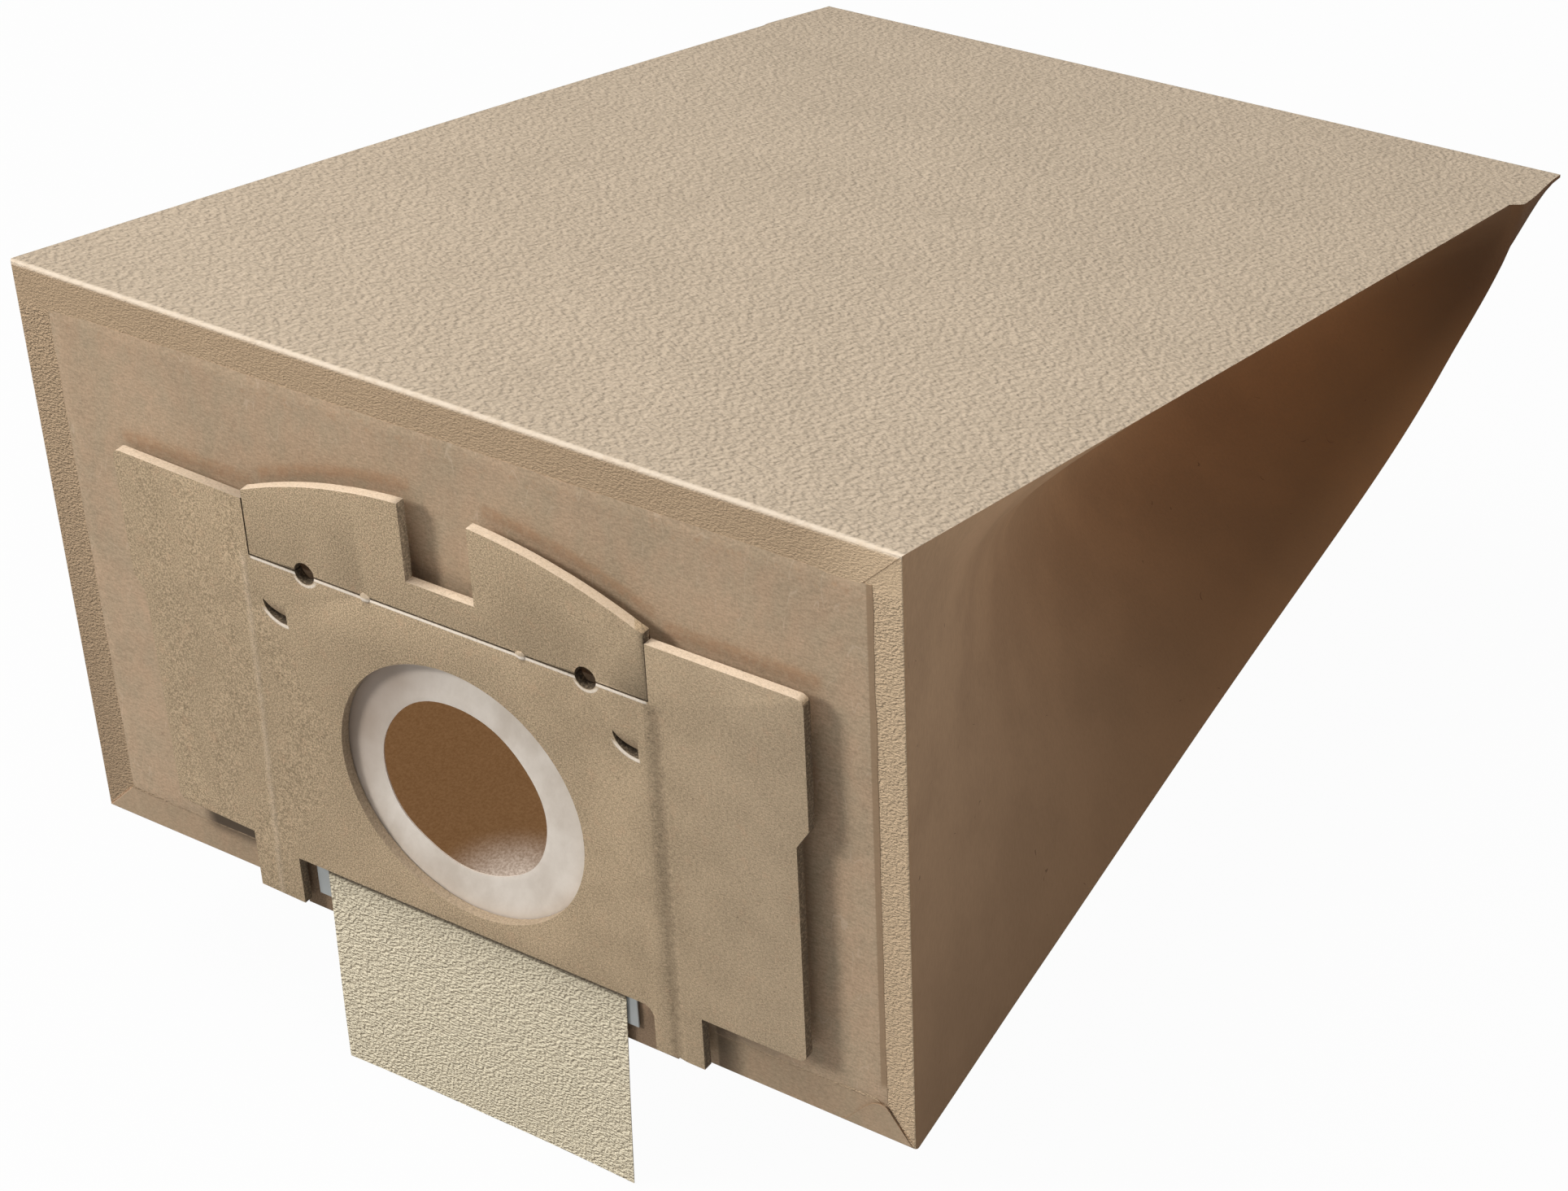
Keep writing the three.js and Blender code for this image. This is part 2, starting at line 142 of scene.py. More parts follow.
class Paint:
    """The node tree of one material, or of the world."""

    def __init__(self, name: str, owner: Any = None) -> None:
        """Starts an empty tree.

        Args:
            name: the material's name.
            owner: what the tree belongs to, where that isn't a new material.
        """
        self.material = owner or bpy.data.materials.new(name)
        self.material.use_nodes = True
        self.tree = self.material.node_tree
        self.tree.nodes.clear()
        self._place: Value | None = None

    def node(self, kind: str, settings: dict[str, Any], inputs: dict[Any, Any], output: Any = 0) -> Value:
        """Adds a node.

        Args:
            kind: the node's type.
            settings: its own settings, set before its sockets are filled.
            inputs: values or links for its sockets, by name or place.
            output: the socket that is wanted back.

        Returns:
            The wanted output.
        """
        made = self.tree.nodes.new(kind)
        for key, value in settings.items():
            setattr(made, key, value)
        for key, value in inputs.items():
            if isinstance(value, Value):
                self.tree.links.new(value.socket, made.inputs[key])
            else:
                made.inputs[key].default_value = value
        return Value(self, made.outputs[output])

    def place(self) -> Value:
        """The point on the object, in metres."""
        if self._place is None:
            self._place = self.node("ShaderNodeTexCoord", {}, {}, "Object")
        return self._place

    def along(self, axis: str) -> Value:
        """One coordinate of the point, in millimetres.

        Args:
            axis: X, Y or Z.

        Returns:
            The coordinate.
        """
        return self.node("ShaderNodeSeparateXYZ", {}, {0: self.place()}, axis) * (1 / MM)

    def stretched(
        self, lengths: Sequence[float], turn: Sequence[float] = (0, 0, 0), shift: Sequence[float] = (0, 0, 0)
    ) -> Value:
        """The point to read a pattern at that runs one way.

        Args:
            lengths: how much longer the pattern is along each of its axes.
            turn: how far it is turned about each axis, in degrees.
            shift: how far it is moved, in millimetres.

        Returns:
            The mapped point.
        """
        angles = tuple(math.radians(a) for a in turn)
        offset = tuple(s * MM for s in shift)
        inputs = {"Vector": self.place(), "Location": offset, "Rotation": angles, "Scale": tuple(lengths)}
        return self.node("ShaderNodeMapping", {"vector_type": "TEXTURE"}, inputs, "Vector")

    def grain(self, size: float, detail: float = 2.0, rough: float = 0.5, at: Value | None = None) -> Value:
        """Soft noise.

        Args:
            size: the size of a spot, in millimetres.
            detail: how many finer layers it has.
            rough: how strong these are.
            at: the point to read it at, if not the plain one.

        Returns:
            Noise from 0 to 1.
        """
        inputs = {"Vector": at or self.place(), "Scale": 1 / (size * MM), "Detail": detail}
        return self.node("ShaderNodeTexNoise", {"noise_dimensions": "3D"}, {**inputs, "Roughness": rough})

    def mix(self, amount: Any, low: Any, high: Any) -> Value:
        """A mix of two colours.

        Args:
            amount: 0 gives the first colour, 1 the second.
            low: the first colour.
            high: the second colour.

        Returns:
            The mixed colour.
        """
        settings = {"data_type": "RGBA", "clamp_factor": True}
        inputs = {0: amount, 6: self._rgba(low), 7: self._rgba(high)}
        return self.node("ShaderNodeMix", settings, inputs, 2)

    @staticmethod
    def _rgba(color: Any) -> Any:
        """A colour with its fourth number, or a link as it is."""
        return color if isinstance(color, Value) else (*color, 1.0)

    def zone(self, name: str) -> Value:
        """One of the zones painted on the mesh.

        Args:
            name: Red, Green or Blue.

        Returns:
            The zone's mask.
        """
        color = self.node("ShaderNodeAttribute", {"attribute_name": ZONES}, {}, "Color")
        return self.node("ShaderNodeSeparateColor", {"mode": "RGB"}, {0: color}, name)

    def bump(self, height: Value, depth: float, strength: float = 1.0, under: Value | None = None) -> Value:
        """A bump.

        Args:
            height: the height, from 0 to 1.
            depth: the depth of a full step, in millimetres.
            strength: how much of it shows.
            under: a bump that lies under this one.

        Returns:
            The normal.
        """
        inputs: dict[Any, Any] = {"Strength": strength, "Distance": depth * MM, "Height": height}
        if under is not None:
            inputs["Normal"] = under
        return self.node("ShaderNodeBump", {}, inputs)

    def surface(self, color: Any, rough: Any, normal: Value | None, **fixed: Any) -> bpy.types.Material:
        """Closes the tree with one surface.

        Args:
            color: the base colour.
            rough: the roughness.
            normal: the bumped normal, if any.
            fixed: other sockets, the same all over.

        Returns:
            The finished material.
        """
        inputs: dict[Any, Any] = {"Base Color": self._rgba(color), "Roughness": rough}
        if normal is not None:
            inputs["Normal"] = normal
        inputs.update({name.replace("_", " "): value for name, value in fixed.items()})
        return self.closed(self.node("ShaderNodeBsdfPrincipled", {}, inputs))

    def closed(self, shader: Value, kind: str = "ShaderNodeOutputMaterial") -> Any:
        """Links a shader to the tree's output.

        Args:
            shader: the shader.
            kind: the output node's type.

        Returns:
            The finished material or world.
        """
        out = self.tree.nodes.new(kind)
        self.tree.links.new(shader.socket, out.inputs["Surface"])
        return self.material


ZONES = "zones"


class Zone(Enum):
    """The kinds of surface on the folded bag, with the colour that marks each."""

    EMBOSSED = (1.0, 0.0, 0.0)
    SMOOTH_SIDE = (0.0, 1.0, 0.0)
    INSIDE = (0.0, 0.0, 1.0)


@dataclass(frozen=True)
class Relief:
    """A pebbled relief pressed into paper, with its sizes in millimetres."""

    size: float
    lengths: tuple[float, float, float]
    turn: float
    # The push is how far the relief is read towards the light for the painted shade on its flanks, in
    # millimetres.
    push: tuple[float, float, float]

    def height(self, paint: Paint, shift: Sequence[float] = (0, 0, 0)) -> Value:
        """The relief's height.

        Args:
            paint: the material's tree.
            shift: how far the relief is moved, in millimetres.

        Returns:
            The height, from 0 to 1.
        """
        point = paint.stretched(self.lengths, (0, 0, self.turn), shift)
        return paint.grain(self.size, 1.0, 0.4, point).rise(0.2, 0.8)

    def pressed(self, paint: Paint) -> Value:
        """Painted shade and painted light on each pebble's flanks, from the relief read a little towards and
        away from the light, around 0.5.
        """
        back = tuple(-part for part in self.push)
        return (self.height(paint, self.push) - self.height(paint, back)) * 1.3 + 0.5


PANEL_RELIEF = Relief(0.68, (1.75, 1.5, 1.2), 33, (-0.14, 0.21, 0.0))
STRIP_RELIEF = Relief(0.3, (1.7, 1.7, 1.0), 0, (-0.04, 0.0, 0.09))
TONGUE_RELIEF = Relief(0.42, (1.6, 1.6, 1.0), 0, (-0.07, 0.0, 0.12))


@dataclass(frozen=True)
class BagPaper:
    """The bag's own paper: embossed on its panels, smooth and browner on its sides with painted shade, brown
    inside with a painted glow.
    """

    light: Color = (0.640, 0.520, 0.392)
    dark: Color = (0.352, 0.282, 0.207)
    strip_light: Color = (0.660, 0.475, 0.305)
    strip_dark: Color = (0.330, 0.235, 0.147)
    strip_shade: Color = (0.36, 0.25, 0.155)
    strip_painted_light: Color = (0.86, 0.65, 0.43)
    front_high: Color = (0.665, 0.425, 0.250)
    front_low: Color = (0.345, 0.212, 0.120)
    rear_high: Color = (0.82, 0.44, 0.205)
    rear_low: Color = (0.330, 0.155, 0.060)
    tail_end: Color = (0.125, 0.055, 0.023)
    left_side: Color = (0.52, 0.36, 0.22)
    inside: Color = (0.28, 0.19, 0.125)
    inside_light: Color = (0.36, 0.26, 0.18)
    glow: Color = (0.108, 0.058, 0.024)
    glow_light: Color = (0.150, 0.086, 0.040)
    painted_light_pool: Color = (0.80, 0.70, 0.60)
    painted_fold_shading: Color = (0.74, 0.64, 0.525)
    mitre_highlight: Color = (0.74, 0.50, 0.32)
    shadow: Color = (0.20, 0.115, 0.06)
    relief_depth: float = 0.38
    strip_share: float = 0.72
    fibre: Color = (0.13, 0.07, 0.04)
    light_pool_x: float = -6.5
    light_pool_y: float = 20.0

    def material(self) -> bpy.types.Material:
        """The finished material."""
        paint = Paint("bag_paper")
        side, inside = paint.zone("Green"), paint.zone("Blue")
        embossed = 1 - (side + inside)
        depth = paint.along("Y")
        height = paint.along("Z")
        mottle = paint.grain(28, 3.0)
        speckle = paint.grain(0.55, 3.0, 0.7)
        front = 1 - depth.rise(5.05, 5.5)
        calm = 1 - height.rise(38, 40) * 0.6
        # Painted shade and light on the relief's flanks make up much of the tone.
        strip_flank_shade = (STRIP_RELIEF.pressed(paint) - 0.5) * calm + 0.5
        pressed = PANEL_RELIEF.pressed(paint) * (1 - front) + strip_flank_shade * front
        tone = mottle * 0.25 + speckle * 0.2 + pressed * 0.55
        across = paint.along("X")
        left_mitre = across - height + 21.5
        right_mitre = across + (height + 69.3) * 0.714
        low = front * (1 - height.rise(-69.6, -68.6)) * left_mitre.rise(-0.2, 0.2)
        low = low * (1 - right_mitre.rise(85.9, 86.3))
        panel = paint.mix(tone, self.dark, self.light)
        strip = paint.mix(tone, self.strip_dark, self.strip_light)
        # Painted shade and light on the front strips: darker towards the lower left, paler towards the right
        # end.
        left_end = (1 - across.rise(-98, -75)) * (1 - height.rise(-78, 46))
        strip = paint.mix(left_end * 0.8, strip, self.strip_shade)
        panel = paint.mix(front, panel, paint.mix(across.rise(70, 90) * 0.5, strip, self.strip_painted_light))
        # Painted highlight along the rounded top fold, where the relief is also smoothed away.
        fold = ((depth - 4.75) ** 2.0 + (height - 47.7) ** 2.0) ** 0.5
        painted_fold_shading = (1 - fold.rise(0.3, 1.2)) * (paint.grain(1.6, 2.0).rise(0.25, 0.6) * 0.3 + 0.7)
        panel = paint.mix(painted_fold_shading * 0.85, panel, self.painted_fold_shading)
        panel = paint.mix(low * 0.92, panel, self.low_strip(paint, across, height))
        # Painted highlight: a pale line along the lower left mitre.
        line = (1 - abs(left_mitre).rise(0.1, 0.55)) * front * (1 - height.rise(-69.5, -69.0))
        panel = paint.mix(line * 0.8, panel, self.mitre_highlight)
        color = paint.mix(side, panel, self.flank(paint, depth))
        core = paint.mix(speckle.rise(0.3, 0.75) * 0.6, self.inside, self.inside_light)
        color = paint.mix(inside, color, core)
        strip_relief = STRIP_RELIEF.height(paint) * front * calm * self.strip_share
        relief = PANEL_RELIEF.height(paint) * (1 - front) + strip_relief
        relief = relief * embossed * (1 - low) * (1 - painted_fold_shading * 0.8)
        fine = paint.grain(0.35, 3.0, 0.6)
        normal = paint.bump(fine, 0.03, 0.5)
        normal = paint.bump(relief, self.relief_depth, 1.0, normal)
        # The inside emits a painted glow.
        glow = paint.mix(inside, (0, 0, 0), self.lit_inside(paint, depth, speckle))
        fixed = {"Specular_IOR_Level": 0.25, "Emission_Color": glow, "Emission_Strength": 1.0}
        return paint.surface(color, 0.82, normal, **fixed)

    @staticmethod
    def low_strip(paint: Paint, across: Value, up: Value) -> Value:
        """The smooth flap below the cover sheet, with the painted shadow under the collar's wings.

        Args:
            paint: the material's tree.
            across: the place along X.
            up: the place along Z.

        Returns:
            Its colour.
        """
        kraft = SmoothKraft()
        color = paint.mix(0.2, kraft.weave(paint), kraft.dark)
        return paint.mix(kraft.painted_wing_shadow(across, up), color, kraft.gap)

    def flank(self, paint: Paint, depth: Value) -> Value:
        """The smooth side paper, with painted shade that darkens it towards the tail and lower down and a
        painted warmth of bounced light towards the rear.

        Args:
            paint: the material's tree.
            depth: the distance into the bag.

        Returns:
            Its colour.
        """
        streak = paint.grain(0.5, 4.0, 0.7, paint.stretched((1.0, 1.0, 3.5), (-15, 0, 0)))
        cloud = paint.grain(20, 3.0, 0.55)
        # Painted shade on the right side: darker towards the tail and lower down, warmer towards the rear as
        # bounced light; the left side keeps a plain tone.
        ridge = (depth - 4.75) * -0.214 + 48.9
        foot = (depth - 4.75) * 0.267 - 76.5
        drop = (ridge - paint.along("Z")) * (ridge - foot) ** -1.0
        back = depth.rise(0, 225)
        color = paint.mix(back, self.front_high, self.rear_high)
        color = paint.mix(drop, color, paint.mix(back, self.front_low, self.rear_low))
        color = paint.mix(depth.rise(196, 240) * 0.85, color, self.tail_end)
        color = paint.mix(paint.along("X").rise(-60, -20), self.left_side, color)
        shade = streak.rise(0.3, 0.75) * 0.5 + cloud.rise(0.35, 0.65) * 0.5
        color = paint.mix(shade * 0.34, color, self.shadow)
        return paint.mix(self.hairs(paint) * 0.7, color, self.fibre)

    def lit_inside(self, paint: Paint, depth: Value, speckle: Value) -> Value:
        """The painted glow that stands in for warm light through the thin paper, with a painted pool of light
        below the inlet.

        Args:
            paint: the material's tree.
            depth: the distance into the bag.
            speckle: the paper's fine grain.

        Returns:
            The light's colour.
        """
        across = (paint.along("X") - self.light_pool_x) * 0.8
        near = (across**2.0 + (depth - self.light_pool_y) ** 2.0) ** 0.5
        painted_light_pool = (1 - near.rise(1, 17)) * (speckle.rise(0.3, 0.7) * 0.5 + 0.4)
        glow = paint.mix(speckle.rise(0.3, 0.7), self.glow, self.glow_light)
        return paint.mix(painted_light_pool, glow, self.painted_light_pool)

    @staticmethod
    def hairs(paint: Paint) -> Value:
        """Sparse dark fibres in smooth kraft paper."""
        line = abs(paint.grain(5.2, 1.0, 0.4) - 0.5)
        where = paint.grain(3.2, 1.0, 0.5, paint.stretched((1, 1, 1), (40, 30, 10))).rise(0.70, 0.74)
        return (1 - line.rise(0.003, 0.009)) * where


@dataclass(frozen=True)
class SmoothKraft:
    """The smooth kraft sheet glued over the folded end: pinkish brown, with fine slanting fibres."""

    light: Color = (0.720, 0.525, 0.355)
    dark: Color = (0.245, 0.175, 0.108)
    green: Color = (0.450, 0.362, 0.247)
    pink: Color = (0.570, 0.390, 0.258)
    pale: Color = (0.70, 0.56, 0.42)
    band: Color = (0.33, 0.215, 0.125)
    stain: Color = (0.46, 0.25, 0.13)
    gap: Color = (0.085, 0.06, 0.04)
    right_edge: float = 86.2
    wing_top: float = 17.6
    ear_foot: float = 19.6
    ear_rise: float = 9.3
    ear_half: float = 43.7

    def weave(self, paint: Paint) -> Value:
        """The sheet's colour: soft blotches under fine slanting fibres.

        Args:
            paint: the material's tree.

        Returns:
            The colour.
        """
        blotch = paint.grain(5, 3.0, 0.55, paint.stretched((1.0, 1.0, 1.7), (0, 14, 0)))
        cloud = paint.grain(26, 2.0)
        thread = paint.grain(0.34, 4.0, 0.7, paint.stretched((3.5, 1.0, 1.0), (0, -2, 0)))
        fine = paint.grain(0.45, 3.0, 0.7)
        color = paint.mix(blotch.rise(0.3, 0.7), self.green, self.pink)
        shade = thread.rise(0.3, 0.7) * 0.45 + fine.rise(0.3, 0.7) * 0.4 + cloud.rise(0.35, 0.65) * 0.15
        color = paint.mix(0.6, color, paint.mix(shade, self.dark, self.light))
        return paint.mix(thread.rise(0.64, 0.8) * 0.4, color, self.pale)

    def painted_wing_shadow(self, across: Value, up: Value) -> Value:
        """The painted shadow on the paper under the collar's wings and beside the right foot, deepest beside
        the left foot.

        Args:
            across: the place along X.
            up: the place along Z.

        Returns:
            How dark it is.
        """
        below = 1 - up.rise(-63, -61)
        left = (1 - abs(across + 61.5).rise(6.0, 10.5)) * up.rise(-71.8, -68.4) * below * 0.95
        right = across.rise(50.0, 50.6) * (1 - across.rise(56, 73)) * up.rise(-71.0, -66.5) * below * 0.5
        foot = across.rise(50.0, 50.6) * (1 - across.rise(51.5, 54.5)) * (1 - up.rise(-66, -63)) * 0.6
        return left.most(right).most(foot)

    def dust(self, paint: Paint, across: Value, up: Value) -> Value:
        """The rusty dust and painted shade that line the collar's upper edges.

        Args:
            paint: the material's tree.
            across: the place along X.
            up: the place along Z.

        Returns:
            How thick it lies.
        """
        wings = abs(across).rise(44, 46) * (1 - abs(across).rise(74.5, 77))
        arc = (1 - (across * (1 / self.ear_half)) ** 2.0) * self.ear_rise + self.ear_foot
        ears = (1 - abs(across).rise(42.5, 44)) * abs(across).rise(7.2, 8.5)
        near = (1 - abs(up - self.wing_top).rise(0.5, 2.4)) * wings
        near = near.most((1 - abs(up - arc).rise(0.4, 2.0)) * ears)
        return near * (paint.grain(1.3, 3.0, 0.7).rise(0.3, 0.65) * 0.7 + 0.3)

    def material(self) -> bpy.types.Material:
        """The finished material."""
        paint = Paint("smooth_kraft")
        color = self.weave(paint)
        scratch = abs(paint.grain(3.5, 1.0, 0.4, paint.stretched((1.0, 1.0, 3.5), (0, 8, 0))) - 0.5)
        lines = (1 - scratch.rise(0.002, 0.012)) * paint.grain(4, 1.0).rise(0.5, 0.6)
        color = paint.mix(lines * 0.3, color, self.pale)
        across, up = paint.along("X"), paint.along("Z")
        band = across.rise(self.right_edge - 1.25, self.right_edge - 0.95) * up.rise(-66, -64)
        color = paint.mix(band * 0.75, color, self.band)
        glue = paint.grain(1.6, 3.0, 0.7).rise(0.5, 0.75) * (1 - abs(up - 37.6).rise(0.6, 2.4))
        # Glue marks, and rusty dust with painted shade along the collar's upper edges.
        color = paint.mix((glue * 0.35).most(self.dust(paint, across, up) * 0.45), color, self.stain)
        # Painted shadow under the collar's wings.
        color = paint.mix(self.painted_wing_shadow(across, up), color, self.gap)
        color = paint.mix(BagPaper.hairs(paint) * 0.3, color, BagPaper.fibre)
        normal = paint.bump(paint.grain(0.5, 4.0, 0.7), 0.05, 0.6)
        return paint.surface(color, 0.78, normal, Specular_IOR_Level=0.3)


@dataclass(frozen=True)
class CollarBoard:
    """Grey-brown recycled board with a fine speckle."""

    light: Color = (0.740, 0.560, 0.370)
    dark: Color = (0.210, 0.155, 0.092)
    pink: Color = (0.62, 0.40, 0.255)
    edge: Color = (0.72, 0.58, 0.44)
    lip_highlight: Color = (0.98, 0.88, 0.77)
    hollow: Color = (0.075, 0.055, 0.038)
    flap: Color = (0.36, 0.25, 0.16)
    fleck: Color = (0.13, 0.09, 0.055)
    ridge: tuple[float, float, float, float] = (-45.4, 4.3, -48.3, -73.7)
    groove: float = 44.3
    lip_height: float = 4.42
    tear_hole: float = 30.9
    tear_height: float = 5.0
    nick_sides: tuple[float, float] = (-36.8, 41.0)
    nick_width: float = 5.2
    nick_height: float = 4.2
    nick_top: float = -4.0
    nick_lip: float = 1.1
    tear_lip: float = 2.65

    def speckled(self, paint: Paint) -> tuple[Value, Value]:
        """The board's face.

        Args:
            paint: the material's tree.

        Returns:
            Its colour and its height.
        """
        speckle = paint.grain(0.3, 3.0, 0.75)
        weave = paint.grain(0.3, 3.0, 0.65, paint.stretched((2.6, 1.0, 1.0)))
        cloud = paint.grain(10, 3.0)
        amount = speckle.rise(0.3, 0.7) * 0.55 + weave.rise(0.3, 0.7) * 0.35 + cloud.rise(0.35, 0.65) * 0.1
        color = paint.mix(amount, self.dark, self.light)
        color = paint.mix((1 - paint.along("X").rise(-75, -20)) * 0.14, color, self.dark)
        color = paint.mix(paint.along("X").rise(30, 70) * 0.12, color, self.edge)
        coarse = (1 - paint.along("X").rise(-10, 50)) * 0.4
        color = paint.mix(coarse, color, paint.mix(speckle.rise(0.42, 0.58), self.dark, self.light))
        color = paint.mix(paint.grain(3.5, 3.0, 0.6).rise(0.55, 0.75) * 0.3, color, self.pink)
        flecks = paint.grain(0.8, 1.0, 0.5, paint.stretched((1, 1, 1), (20, 50, 10))).rise(0.75, 0.8)
        color = paint.mix(flecks * 0.5, color, self.fleck)
        return color, speckle * 0.6 + weave * 0.4

    def material(self) -> bpy.types.Material:
        """The finished material of the die-cut collar, with its creases and cut edges, and painted highlights
        and painted shade on its edges, lips, hollows and creases.
        """
        paint = Paint("collar_board")
        color, height = self.speckled(paint)
        cut, dark, flap = paint.zone("Red"), paint.zone("Blue"), paint.zone("Green")
        fuzz = paint.grain(0.5, 3.0, 0.7)
        # Painted highlight: cut edges that face the light turn paler.
        color = paint.mix(cut * (fuzz.rise(0.3, 0.6) * 0.4 + 0.5), color, self.edge)
        color = paint.mix(cut * height.rise(0.52, 0.6) * 0.35, color, self.fleck)
        # Painted shade: the nick flaps darken as they sink in.
        color = paint.mix(flap * 0.85, color, self.flap)
        # Painted shade in the nicks, tear holes and cut lines and on walls turned from the light.
        color = paint.mix(dark * 0.92, color, paint.mix(fuzz.rise(0.45, 0.7) * 0.35, self.hollow, self.light))
        top_x, top_z, end_x, end_z = self.ridge
        across, up = paint.along("X"), paint.along("Z")
        slope = (end_x - top_x) / (end_z - top_z)
        line = across - ((up - top_z) * slope + top_x) + (paint.grain(9, 1.0) - 0.5) * 0.8
        below = 1 - up.rise(top_z - 0.5, top_z + 1.5)
        crest = (1 - abs(line).rise(0.0, 1.3)) * below
        patchy = paint.grain(2.2, 3.0, 0.65).rise(0.35, 0.65) * 0.6 + 0.4
        # Painted highlight along the left crease's ridge.
        color = paint.mix(crest * patchy * 0.34, color, self.edge)
        # Painted shade: a soft dark band along the right crease.
        painted_fold_shading = (1 - abs(across - (self.groove + 0.4)).rise(0.4, 1.8)) * (1 - up.rise(3.0, 4.6))
        color = paint.mix(painted_fold_shading * 0.26, color, self.fleck)
        # Painted highlight on the lower lips of the slit, the tear holes and the nicks.
        inner = 1 - abs(across).rise(43.2, 43.8)
        lip_highlight = (1 - abs(up - self.lip_height).rise(0.14, 0.42)) * inner
        ring = ((abs(across) - self.tear_hole) ** 2.0 + (up - self.tear_height) ** 2.0) ** 0.5
        lip_highlight = lip_highlight.most((1 - abs(ring - self.tear_lip).rise(0.12, 0.42)) * (1 - up.rise(3.0, 4.4)) * 0.85)
        for side in self.nick_sides:
            wide = (across - side) * (1 / self.nick_width)
            high = (up - self.nick_top) * (1 / self.nick_height)
            arc = 1 - abs((wide**2.0 + high**2.0) ** 0.5 - self.nick_lip).rise(0.04, 0.13)
            lip_highlight = lip_highlight.most(arc * (1 - wide.rise(0.0, 0.08)) * (1 - high.rise(-0.72, -0.4)))
        lip_highlight = lip_highlight * (1 - dark) * (fuzz.rise(0.25, 0.6) * 0.35 + 0.65)
        color = paint.mix(lip_highlight * 0.85, color, self.lip_highlight)
        normal = paint.bump(crest, 0.14, 1.0)
        normal = paint.bump(height, 0.09, 0.9, normal)
        return paint.surface(color, 0.85, normal, Specular_IOR_Level=0.2)


@dataclass(frozen=True)
class CarrierBoard(CollarBoard):
    """The plain brown board behind the collar."""

    light: Color = (0.36, 0.25, 0.165)
    dark: Color = (0.17, 0.115, 0.07)

    def material(self) -> bpy.types.Material:
        """The finished material."""
        paint = Paint("carrier_board")
        color, height = self.speckled(paint)
        return paint.surface(color, 0.88, paint.bump(height, 0.08, 0.8), Specular_IOR_Level=0.2)


@dataclass(frozen=True)
class SealFilm:
    """The pale, soft sealing sheet."""

    light: Color = (0.90, 0.82, 0.735)
    dark: Color = (0.66, 0.57, 0.48)
    shaded: Color = (0.37, 0.275, 0.21)
    lower_end: Color = (0.44, 0.46, 0.46)

    def material(self) -> bpy.types.Material:
        """The finished material."""
        paint = Paint("seal_film")
        cloud = paint.grain(11, 2.0, 0.5)
        dust = paint.grain(0.7, 3.0, 0.6)
        smear = paint.grain(3.2, 3.0, 0.55, paint.stretched((1.0, 1.0, 2.2), (0, 25, 0)))
        amount = cloud.rise(0.35, 0.65) * 0.45 + smear.rise(0.3, 0.7) * 0.3 + dust * 0.25
        color = paint.mix(amount, self.dark, self.light)
        toward_corner = (paint.along("X") + 0.9) * -0.86 + (paint.along("Z") + 33.8) * 0.5
        color = paint.mix(toward_corner.rise(8, 29) * 0.85, color, self.shaded)
        # Painted shade: the sheet's lower end, below the collar, turns grey.
        below = 1 - paint.along("Z").rise(-64.5, -62.5)
        color = paint.mix(below, color, self.lower_end)
        normal = paint.bump(cloud * 0.6 + dust * 0.4, 0.05, 0.5)
        return paint.surface(color, 0.5, normal, Specular_IOR_Level=0.35)


@dataclass(frozen=True)
class CreamPaper:
    """The cream paper of the tongue, with the same pebbled relief as the bag."""

    light: Color = (1.0, 0.90, 0.68)
    dark: Color = (0.60, 0.50, 0.355)
    shaded: Color = (0.11, 0.08, 0.05)
    relief_depth: float = 0.42

    def material(self) -> bpy.types.Material:
        """The finished material."""
        paint = Paint("cream_paper")
        speckle = paint.grain(0.5, 3.0, 0.7)
        # Painted shade and light on the pebbles' flanks make up most of the tone.
        color = paint.mix(TONGUE_RELIEF.pressed(paint) * 0.8 + speckle * 0.2 + 0.08, self.dark, self.light)
        below = paint.along("Z").rise(-67.5, -66.3)
        color = paint.mix(below * 0.92, color, self.shaded)
        normal = paint.bump(paint.grain(0.35, 2.0), 0.03, 0.5)
        normal = paint.bump(TONGUE_RELIEF.height(paint), self.relief_depth, 1.0, normal)
        return paint.surface(color, 0.8, normal, Specular_IOR_Level=0.25)


# Modelling helpers


